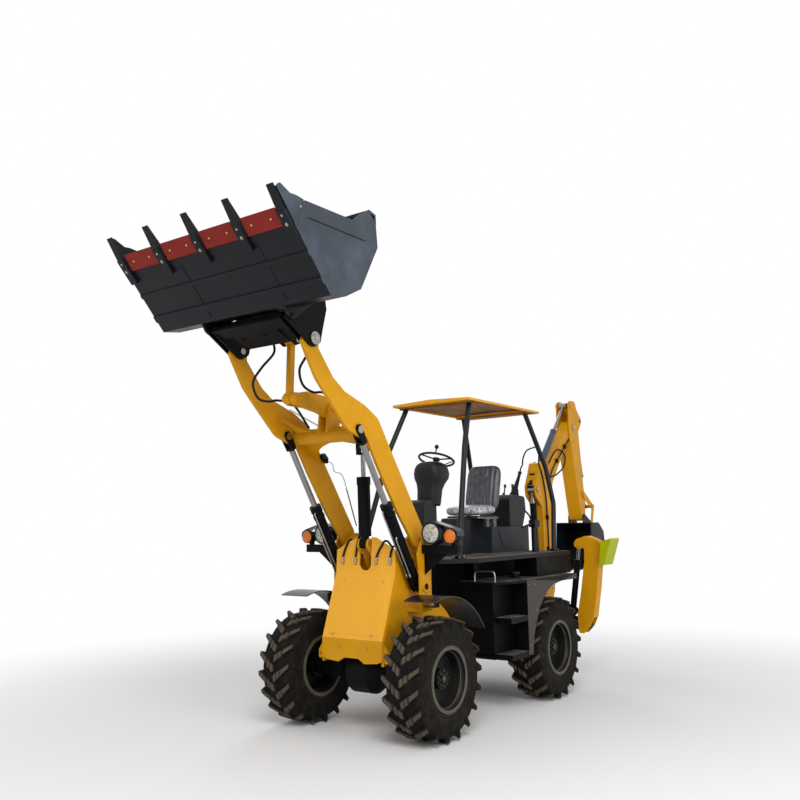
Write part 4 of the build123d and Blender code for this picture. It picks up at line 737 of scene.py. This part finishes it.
def fitting(place, axis, radius=11.0, length=34.0):
    """A crimped hose end: a ribbed sleeve and its hexagon nut."""
    sleeve = turned([(0, radius), (length * 0.1, radius * 1.15), (length * 0.5, radius * 1.15),
                     (length * 0.55, radius), (length * 0.6, radius)], place, axis, 14)
    nut = turned([(length * 0.55, radius * 1.35), (length, radius * 1.35)], place, axis, 6)
    return [sleeve, nut]


# Along a lift cylinder, from its base to its rod's eye
LIFT_AXIS = unit((LIFT_EYE[0] - LIFT_BASE[0], 0, LIFT_EYE[1] - LIFT_BASE[1]))


def beside_barrel(distance, y_off, out):
    """A place beside a lift cylinder: so far along it, to one side, and out from its middle."""
    forward = np.array((LIFT_AXIS[2], 0, -LIFT_AXIS[0]))
    base = np.array((LIFT_BASE[0], 0, LIFT_BASE[1]))
    return base + LIFT_AXIS * distance + forward * out + np.array((0, y_off, 0))


def lift_pipes():
    """Two steel pipes along each lift cylinder, their clamps, and the hoses that feed them."""
    pipes = []
    clamps = []
    hoses = []
    ends = []
    for sign in (1, -1):
        for off, finish in ((-18, 835), (20, 560)):
            y = sign * (ARM_Y + off)
            pipe = ((170, 62), (300, 61), (finish - 60, 61), (finish - 15, 58), (finish, 44))
            pipes.append(tube([beside_barrel(at, y, out) for at, out in pipe], 7, 8, 10))
            ends += fitting(beside_barrel(140, y, 62), LIFT_AXIS, 9, 34)
            hose = ((142, 62), (80, 66), (20, 58), (-40, 40))
            hoses.append(tube([beside_barrel(at, y, out) for at, out in hose], 8, 8, 10))
        for distance in (240, 480, 760):
            clamps.append(hoop([(0, 49), (0, 55), (26, 55), (26, 49)],
                               beside_barrel(distance, sign * ARM_Y, 0), LIFT_AXIS, 32))
            clamps.append(turned([(0, 9), (26, 9)], beside_barrel(distance, sign * ARM_Y, 60),
                                 LIFT_AXIS, 8))
    piece("lift_pipes", pipes, STEEL, "lift_barrels_body")
    piece("lift_hoses", hoses, HOSE, "lift_barrels_body")
    piece("lift_clamps", clamps, BLACK, "lift_barrels_body")
    piece("lift_fittings", ends, STEEL, "lift_barrels_body")


def panel_hoses():
    """Four hoses that come over the cover's top edge and end in elbows on its face."""
    hoses = []
    ends = []
    for y, lean, top in ((-262, 60, 1702), (-107, 30, 1738), (138, 74, 1688), (298, 14, 1640)):
        hoses.append(tube([(-90, y + lean * 1.2, top - 50), (-30, y + lean * 1.1, top + 6),
                           (14, y + lean, top + 8), (34, y + lean * 0.85, top - 24),
                           (40, y + lean * 0.4, (top + 1540) / 2), (46, y, 1545)], 10, 10, 12))
        ends += fitting((46, y, 1550), (0, 0, -1), 11, 40)
        ends.append(tube([(46, y, 1512), (44, y, 1494), (22, y, 1488)], 9, 6, 12))
    piece("cover_hoses", hoses, HOSE, "front_body")
    piece("cover_elbows", ends, STEEL, "front_body")


def hitch_hoses():
    """The lock cylinder's two hoses between the arms, and the switch, its coiled wire and rods."""
    first = level(-200, (1061, 3479), (1050, 3364), (1200, 3208), (1298, 3065), (1237, 2942),
                  (1110, 2926), (994, 2947), (800, 2930), (590, 2735))
    second = level(220, (1092, 3272), (1172, 3147), (1131, 3025), (1006, 2977), (868, 2985),
                   (700, 2900), (585, 2735))
    piece("hitch_hoses", [tube(first, 11, 10, 12), tube(second, 11, 10, 12)], HOSE, "arms_body")
    turns = np.linspace(0, 26 * np.pi, 261)
    wire = through(level(-372, (186, 2481), (68, 2440), (36, 2370), (-60, 2350), (-112, 2289),
                         (-150, 2200)), 52)
    wire = wire[np.linspace(0, len(wire) - 1, 261).astype(int)]
    wire = wire + 5 * np.stack([np.cos(turns), np.sin(turns), 0 * turns], axis=-1)
    stem = level(-372, (-148, 2205), (-200, 2080), (-262, 1930), (-300, 1840))
    switch = plate([(150, 2440), (196, 2480), (226, 2506), (196, 2536), (146, 2490)], -404, -350)
    shapes = [tube(wire, 3, 1, 6), tube(stem, 6, 4, 10), switch]
    piece("position_switch", shapes, PLASTIC, "arms_body")
    rods = [tube(level(-300, (749, 2895), (540, 2835), (325, 2774)), 3, 4, 8),
            tube(level(-316, (720, 2905), (530, 2850), (340, 2792)), 3, 4, 8)]
    piece("level_rods", rods, STEEL, "arms_body")


def backhoe_hoses():
    """Two hoses from the deck to the boom, which ride on the rear body, and those on the boom."""
    deck = [tube([(-2852, 122, 2440), (-2790, 170, 2490), (-2660, 260, 2520), (-2620, 296, 2600),
                  (-2708, 300, 2690), (-2900, 300, 2740), (-3042, 300, 2755), (-3240, 200, 2740),
                  (-3420, 96, 2600), (-3487, 92, 2490)], 9, 12, 12),
            tube([(-2760, -230, 1540), (-2860, -230, 1760), (-3060, -190, 1960),
                  (-3300, -130, 2010), (-3470, -96, 1930), (-3540, -92, 1780)], 11, 12, 12)]
    piece("deck_hoses", deck, HOSE, "rear_body")
    along_boom = []
    for y in (-92, 92):
        along_boom.append(tube(level(y, (-3487, 2500), (-3560, 2300), (-3600, 2100),
                                     (-3620, 1700), (-3610, 1400), (-3560, 1230)), 10, 8, 12))
        along_boom.append(tube(level(y, (-3700, 2380), (-3860, 2560), (-4040, 2700),
                                     (-4230, 2850), (-4360, 2960)), 9, 8, 12))
    along_boom.append(tube([(-3698, 100, 2604), (-3886, 100, 2758), (-4045, 102, 2791),
                            (-4187, 104, 2716), (-4137, 104, 2575), (-3924, 100, 2460),
                            (-3759, 98, 2421), (-3640, 84, 2400)], 10, 10, 12))
    piece("boom_hoses", along_boom, HOSE, "boom_body")
    clips = [plate([(x - 18, z - 30), (x + 18, z - 24), (x + 18, z + 30), (x - 18, z + 24)],
                   y0, y0 + 30)
             for y0 in (-108, 78) for x, z in ((-3612, 1900), (-3614, 1500), (-3960, 2640),
                                               (-4220, 2846))]
    piece("boom_clips", clips, BLACK, "boom_body", False, 2.0)


# Fastenings and small parts


def fastenings():
    """The cover's plate and bolts, and the bolts and screws of towers, side panels and posts."""
    cover = [(66, -217, 1338), (66, 231, 1338), (232, -236, 872), (230, 215, 879)]
    bolts("cover_bolts", cover, (0.943, 0, 0.334), 19, 10, BRASS, "front_body")
    band = [(250, -150, 756), (250, 172, 758)]
    bolts("band_bolts", band, (1, 0, 0.05), 15, 9, BRASS, "front_body")
    raised = slab(rounded(298, 42, 566, 26), (24, 0, 1400), LEFT, (202, 0, -570), -19)
    # The raised plate takes the cover's paler yellow, a painted highlight
    piece("cover_plate", [raised], YELLOW_PANEL_LIT, "front_body", False, 2.0)
    for sign, side in SIDES:
        tower = level(sign * 516, (-205, 1390), (-213, 1324))
        bolts(f"tower_bolts_{side}", tower, (0, sign, 0), 11, 9, STEEL, "front_body")
        screws = level(sign * SIDE_Y, (-1665, 1215), (-1680, 958), (-2640, 1225), (-1530, 1215),
                       (-1530, 620))
        bolts(f"panel_screws_{side}", screws, (0, sign, 0), 9, 7, STEEL, "rear_body")
    feet = [(x + dx, sign * y + dy, POST_FOOT_TOP + 1) for sign in (1, -1) for x, y in POST_FEET
            for dx in (-42, 42) for dy in (-32, 32)]
    bolts("post_foot_bolts", feet, UPWARD, 10, 9, STEEL, "rear_body")


def bucket_details():
    """The bucket's bolts, weld beads, lip and pin caps, black strips as painted shade in its side
    grooves, and a black plate as painted shade in the gap behind the lock bar.
    """
    rise = unit((400, 0, 450))
    square = np.array((rise[2], 0, -rise[0]))
    edge = np.array((2040, 0, 4010))
    teeth = [edge + rise * distance + square * 31 + (0, y, 0)
             for y in np.arange(-2, 3) * TOOTH_PITCH for distance in (12, 84)]
    wear = [edge + rise * 76 + square * 8 + (0, y + off, 0)
            for y in (np.arange(4) - 1.5) * TOOTH_PITCH for off in (-100, 100)]
    bolts("tooth_bolts", teeth, square, 17, 9, STEEL, "bucket_body")
    bolts("wear_plate_bolts", wear, square, 16, 8, BRASS, "bucket_body")
    beads = [tube([edge + (0, y, 0) - rise * back + square for back in (70, 300, 560)], 5, 4, 8)
             for y in (-322, 545)]
    piece("bucket_welds", beads, BUCKET, "bucket_body")
    lip = slab(oblong(BUCKET_HALF - 2, 0, 58), edge - rise * 62 + square * 4, LEFT, rise, -5)
    piece("bucket_lip", [lip], BUCKET, "bucket_body", False, 1.5)
    # A thin black plate closes the gap behind the lock bar: painted shade where the gap shows dark
    back = plate([(1434, 3500), (1444, 3500), (1458, 3584), (1447, 3588)], -246, 246)
    piece("lock_gap_shade", [back], BLACK, "bucket_body", False)
    # Black strips on the bucket's sides: painted shade in their grooves
    grooves = [plate([(1890, 4086), (1224, 4088), (1224, 4098), (1890, 4096)],
                     sign * BUCKET_HALF, sign * (BUCKET_HALF + 3.5)) for sign in (1, -1)]
    piece("bucket_side_groove_shades", grooves, HOSE, "bucket_body", False)
    caps = []
    for sign in (1, -1):
        caps.append(turned([(0, 40), (6, 40), (8, 37), (8, 14), (4, 12)], (1250, sign * 466, 3370),
                           (0, sign, 0), 32))
        caps += hexagon((1272, sign * 473, 3388), (0, sign, 0), 8, 5)
    piece("hitch_pin_caps", caps, STEEL, "bucket_body")
    for sign, side in SIDES:
        bolts(f"cutter_bolts_{side}", [(1972, sign * BUCKET_HALF, 4153)], (0, sign, 0), 17, 6,
              STEEL, "bucket_body")


def weld_beads():
    """The fillet welds round the cross tube's ends, at the inner faces of the arms."""
    rings = [torus((CROSS_TUBE[0], y, CROSS_TUBE[1]), 74, 5, 48, 6) for y in (-401, 401)]
    piece("arm_welds", rings, YELLOW, "arms_body")


def body_details():
    """The grab handles, the filler caps' ribs, and the levers with their gaiters."""
    ribs = np.linspace(0, 1, 25)
    for sign, side in SIDES:
        bar = ((528, 1262), (528, 1330), (542, 1364), (580, 1374), (710, 1374), (745, 1364),
               (757, 1330), (757, 1262))
        handle = tube([(-1056, sign * y, z) for y, z in bar], 8, 8, 12)
        piece(f"grab_handle_{side}", [handle], STEEL, "rear_body")
        cap = turned([(0, 47), (4, 52), (24, 52), (30, 46), (32, 20)], (-1720, sign * 620, 1306),
                     UPWARD, 12)
        piece(f"filler_cap_{side}", [cap], PLASTIC, "rear_body", False, 2.0)
    profile = np.stack([ribs * 52, 26 - 14 * ribs + 2.5 * np.cos(ribs * 10 * np.pi)], axis=-1)
    gaiters = [turned(profile, (-2552, y, 2142), (-0.3, 0, 0.95), 24)
               for y in (-150, -50, 50, 150)]
    profile = np.stack([ribs * 96, 58 - 32 * ribs + 3 * np.cos(ribs * 14 * np.pi)], axis=-1)
    gaiters.append(turned(profile, (-2692, 120, 2156), (-0.55, 0, 0.83), 28))
    lever = turned([(0, 34), (90, 26), (180, 20), (262, 17), (272, 10)], (-2706, 120, 2212),
                   (-0.55, 0, 0.83), 20)
    piece("lever_gaiters", gaiters + [lever], HOSE, "rear_body")


def console_details():
    """The console's rounded head, its cowl, the steering column, and the box on the floor."""
    head = loft([(2030, -1050, 92, 108), (2060, -1050, 100, 116), (2200, -1070, 108, 122),
                 (2262, -1090, 124, 138), (2316, -1105, 148, 166), (2370, -1108, 158, 172),
                 (2424, -1105, 150, 160), (2462, -1100, 130, 138), (2486, -1098, 98, 106),
                 (2496, -1096, 56, 64)], 0.62)
    tunnel = plate([(-1062, DECK_TOP), (-1062, 1790), (-1110, 1812), (-1400, 1812),
                    (-1440, 1900), (-1700, 1915), (-1700, DECK_TOP)], -112, 112)
    piece("floor_tunnel", [tunnel], PLASTIC, "rear_body", False, 12.0)
    binnacle = piece("console_head", [head], PLASTIC, "rear_body")
    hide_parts("console")
    cowl = plate([(-800, DECK_TOP), (-800, 2048), (-808, 2066), (-860, 2092), (-1045, 2095),
                  (-1060, DECK_TOP)], -100, 100)
    piece("console_cowl", [cowl], PLASTIC, "rear_body", False, 14.0)
    facet = slab(oblong(84, 0, 300), (-797, 0, 1740), LEFT, UPWARD, -3)
    piece("console_facet", [facet], SLATE_PLASTIC, "rear_body", False, 2.0)
    lean = np.array((-math.sin(COLUMN_LEAN), 0, math.cos(COLUMN_LEAN)))
    column = turned([(0, 34), (50, 32), (60, 26), (105, 24), (108, 20)],
                    np.array((-1205, 0, 2525)) - lean * 122, lean, 24)
    stalk = tube([(-1190, 20, 2440), (-1200, 120, 2470), (-1206, 196, 2492)], 6, 6, 8)
    piece("steering_column", [column, stalk], PLASTIC, "rear_body")


def seat_fittings():
    """The plinth's side covers, and the coil springs and slide bars under the cushion."""
    outline = [(-2110, 1578), (-2610, 1578), (-2660, 1770), (-2020, 1770)]
    covers = [slab(outline, (0, sign * 270, 0), FORWARD, UPWARD, -sign * 5) for sign in (1, -1)]
    piece("plinth_covers", covers, SLATE_PLASTIC, "rear_body", False, 2.0)
    turns = np.linspace(0, 12 * np.pi, 145)
    springs = []
    for x in (-2090, -1930):
        spring = np.stack([x + 24 * np.cos(turns), 178 + 24 * np.sin(turns),
                           1806 + turns * 2.9], axis=-1)
        springs.append(tube(spring, 4, 1, 6))
    springs += [tube(level(196, (-2150, 1900), (-1900, 1896), (-1720, 1904)), 7, 4, 8),
                tube([(-1720, 196, 1904), (-1716, 60, 1900), (-1720, -196, 1904)], 6, 4, 8)]
    piece("seat_springs", springs, STEEL, "rear_body")


def boom_details():
    """The plate that closes the boom's elbow, black discs and slots on it as painted shade in its
    openings, and pin washers on the boom.
    """
    up = unit((-95, 0, 180))
    out = unit((180, 0, 95))
    foot = np.array((-3337, 0, 2294))
    cover = slab(oblong(72, 6, 190), foot, LEFT, up, 7)
    piece("elbow_plate", [cover], YELLOW, "boom_body", False, 2.0)
    # Black discs and slots stand for the openings: painted shade
    hole_shades = [turned([(0, 26), (2.5, 26)], foot + up * 62 + out * 6 + (0, 6, 0), out, 28)]
    slot = rounded(40, -16, 16, 15)
    for height in (8, 150):
        hole_shades.append(slab(slot, foot + up * (height + 18) + out * 6, LEFT, up, 3))
    piece("elbow_hole_shades", hole_shades, HOSE, "boom_body")
    washers = []
    for x, z in ((-3680, 1040), (-4520, 3130), (-3400, 2250)):
        for sign in (1, -1):
            reach = 104 if z != 2250 else 85
            washers.append(turned([(0, 36), (6, 36), (8, 32), (8, 16), (5, 14)],
                                  (x, sign * reach, z), (0, sign, 0), 28))
    piece("boom_washers", washers, STEEL, "boom_body")


def post_details():
    """Collars where the canopy's posts meet their feet."""
    collars = [turned([(0, 44), (4, 44), (10, 34), (16, 31)], (x, sign * y, POST_FOOT_TOP),
                      (lean, sign * -0.1, 0.95), 28)
               for sign in (1, -1) for (x, y), lean in zip(POST_FEET, (-0.3, -0.28))]
    piece("post_collars", collars, POST_BLACK, "rear_body")


# The seat


def pad(name, centre, length, thickness, half, rise, material, channels, depth, dome):
    """A sewn pad: a rounded box whose sides pull in between its corners.

    A point at latitude a and longitude b lies at cos(b) cos(a) along, sin(b) cos(a) across and
    sin(a) through, each raised to a power below one, which squares the ball. Sewn channels press
    the outer face in as narrow valleys, and the middle crowns by dome.
    """
    latitude = np.linspace(-np.pi / 2, np.pi / 2, 61)[1:-1, None]
    longitude = np.linspace(0, 2 * np.pi, 181)[None, :-1]

    def squared(value, power):
        return np.sign(value) * np.abs(value) ** power

    along = squared(np.cos(longitude), 0.42) * squared(np.cos(latitude), 0.38)
    side = squared(np.sin(longitude), 0.42) * squared(np.cos(latitude), 0.38)
    up = squared(np.sin(latitude), 0.7) + 0 * longitude
    waist = 1 - 0.035 * (1 - along ** 2) * np.abs(side) - 0.03 * (1 - side ** 2) * np.abs(along)
    across_mm = side * half * waist
    along_mm = along * length * waist
    top = smooth_step(up, 0.2, 0.8)
    through_mm = up * thickness + top * dome * (1 - along ** 2) * (1 - side ** 2)
    inner = smooth_step(1 - np.abs(along), 0.06, 0.3)
    for place in channels:
        valley = np.exp(-((across_mm - place) / 9) ** 2)
        through_mm = through_mm - depth * valley * top * inner
    rise = unit(rise)
    face = np.cross(rise, LEFT)
    face = face if face[2] + face[0] > 0 else -face
    points = (np.asarray(centre, float) + along_mm[..., None] * rise +
              across_mm[..., None] * np.array(LEFT) + through_mm[..., None] * face)
    thing = piece(name, [ring_solid(points)], material, "rear_body")
    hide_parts("seat_pads")


def seat():
    """The cushion and the backrest, each with its sewn channels."""
    pad("seat_cushion", (-1885, 0, 1986), 250, 54, 222, (-1, 0, 0.035), SEAT_VINYL,
        (-110, 0, 110), 9, 8)
    pad("seat_backrest", (-2170, 0, 2238), 276, 50, 222, (-0.2267, 0, 0.974), BACK_VINYL,
        (-150, -75, 0, 75, 150), 12, 10)


# Camera, floor and light


def set_camera():
    """The photograph's camera: place, heading, tilt and roll as solved, with no shift."""
    yaw, pitch, roll = (math.radians(a) for a in (CAMERA_YAW, CAMERA_PITCH, CAMERA_ROLL))
    forward = Vector((-math.cos(yaw) * math.cos(pitch), -math.sin(yaw) * math.cos(pitch),
                      math.sin(pitch)))
    right = forward.cross(Vector(UPWARD)).normalized()
    up = right.cross(forward)
    rolled_right = right * math.cos(roll) + up * math.sin(roll)
    rolled_up = up * math.cos(roll) - right * math.sin(roll)
    data = bpy.data.cameras.new("photograph camera")
    data.sensor_fit = "HORIZONTAL"
    data.sensor_width = SENSOR_MM
    data.lens = FOCAL_PIXELS / IMAGE_PIXELS * SENSOR_MM
    data.clip_end = 200
    camera = bpy.data.objects.new("photograph camera", data)
    turn = Matrix((rolled_right, rolled_up, -forward)).transposed()
    camera.matrix_world = Matrix.Translation(CAMERA_PLACE) @ turn.to_4x4()
    COLLECTION.objects.link(camera)
    bpy.context.scene.camera = camera


def area_lamp(name, place, target, size, watts):
    """A soft square lamp that looks from its place at a target."""
    data = bpy.data.lights.new(name, "AREA")
    data.shape = "SQUARE"
    data.size = size
    data.energy = watts
    lamp = bpy.data.objects.new(name, data)
    aim = (Vector(target) - Vector(place)).to_track_quat("-Z", "Y")
    lamp.matrix_world = Matrix.Translation(place) @ aim.to_matrix().to_4x4()
    COLLECTION.objects.link(lamp)


def seen_by(tree, *rays):
    """1 for the kinds of ray that are named, 0 for the others."""
    path = add(tree, "ShaderNodeLightPath")
    seen = path.outputs[rays[0]]
    for ray in rays[1:]:
        seen = add(tree, "ShaderNodeMath", {"operation": "MAXIMUM"}, i0=seen,
                   i1=path.outputs[ray]).outputs[0]
    return seen


def set_floor():
    """A pale floor that keeps the shadow near the machine and is plain white further out."""
    bpy.ops.mesh.primitive_plane_add(size=160, location=(0, 0, -0.002))
    floor = bpy.context.object
    floor.name = "studio floor"
    material, tree, shader = new_material("pale studio floor")
    shader.inputs["Base Color"].default_value = (0.93, 0.93, 0.93, 1)
    shader.inputs["Roughness"].default_value = 0.95
    shader.inputs["Specular IOR Level"].default_value = 0.1
    place = add(tree, "ShaderNodeTexCoord").outputs["Object"]
    away = add(tree, "ShaderNodeVectorMath", {"operation": "LENGTH"}, i0=place)
    far = add(tree, "ShaderNodeMapRange", {"interpolation_type": "SMOOTHSTEP"},
              i0=away.outputs["Value"], i1=2.5, i2=8.0, i3=0.0, i4=1.0)
    share = add(tree, "ShaderNodeMath", {"operation": "MULTIPLY"},
                i0=seen_by(tree, "Is Camera Ray", "Is Glossy Ray"), i1=far.outputs["Result"])
    white = add(tree, "ShaderNodeEmission", Color=(1, 1, 1, 1), Strength=1.0)
    both = add(tree, "ShaderNodeMixShader", i0=share.outputs[0], i1=shader.outputs["BSDF"],
               i2=white.outputs[0])
    output = next(node for node in tree.nodes if node.type == "OUTPUT_MATERIAL")
    tree.links.new(both.outputs[0], output.inputs["Surface"])
    floor.data.materials.append(material)


def set_light():
    """A white surrounding to the eye, dimmer as a light, and three soft lamps."""
    world = bpy.data.worlds.new("studio")
    bpy.context.scene.world = world
    world.use_nodes = True
    tree = world.node_tree
    tree.nodes.clear()
    seen = seen_by(tree, "Is Camera Ray", "Is Glossy Ray", "Is Transmission Ray")
    soft = add(tree, "ShaderNodeBackground", Color=(1, 1, 1, 1), Strength=0.5)
    white = add(tree, "ShaderNodeBackground", Color=(1, 1, 1, 1), Strength=1.0)
    both = add(tree, "ShaderNodeMixShader", i0=seen, i1=soft.outputs[0], i2=white.outputs[0])
    add(tree, "ShaderNodeOutputWorld", Surface=both.outputs[0])
    area_lamp("key", (8, 6, 9), (0, 0, 1.5), 5, 620)
    area_lamp("side", (4, 11, 4), (0, 0, 1.2), 5, 300)
    area_lamp("back", (-9, -6, 8), (0, 0, 1.5), 5, 260)


finish_solids()
set_camera()
for wheel in wheel_places():
    tyre(*wheel)
    wheel_details(*wheel)
lamps()
lift_pipes()
panel_hoses()
hitch_hoses()
backhoe_hoses()
fastenings()
bucket_details()
weld_beads()
body_details()
console_details()
seat_fittings()
boom_details()
post_details()
seat()
set_floor()
set_light()
bpy.context.scene.view_settings.view_transform = "Standard"
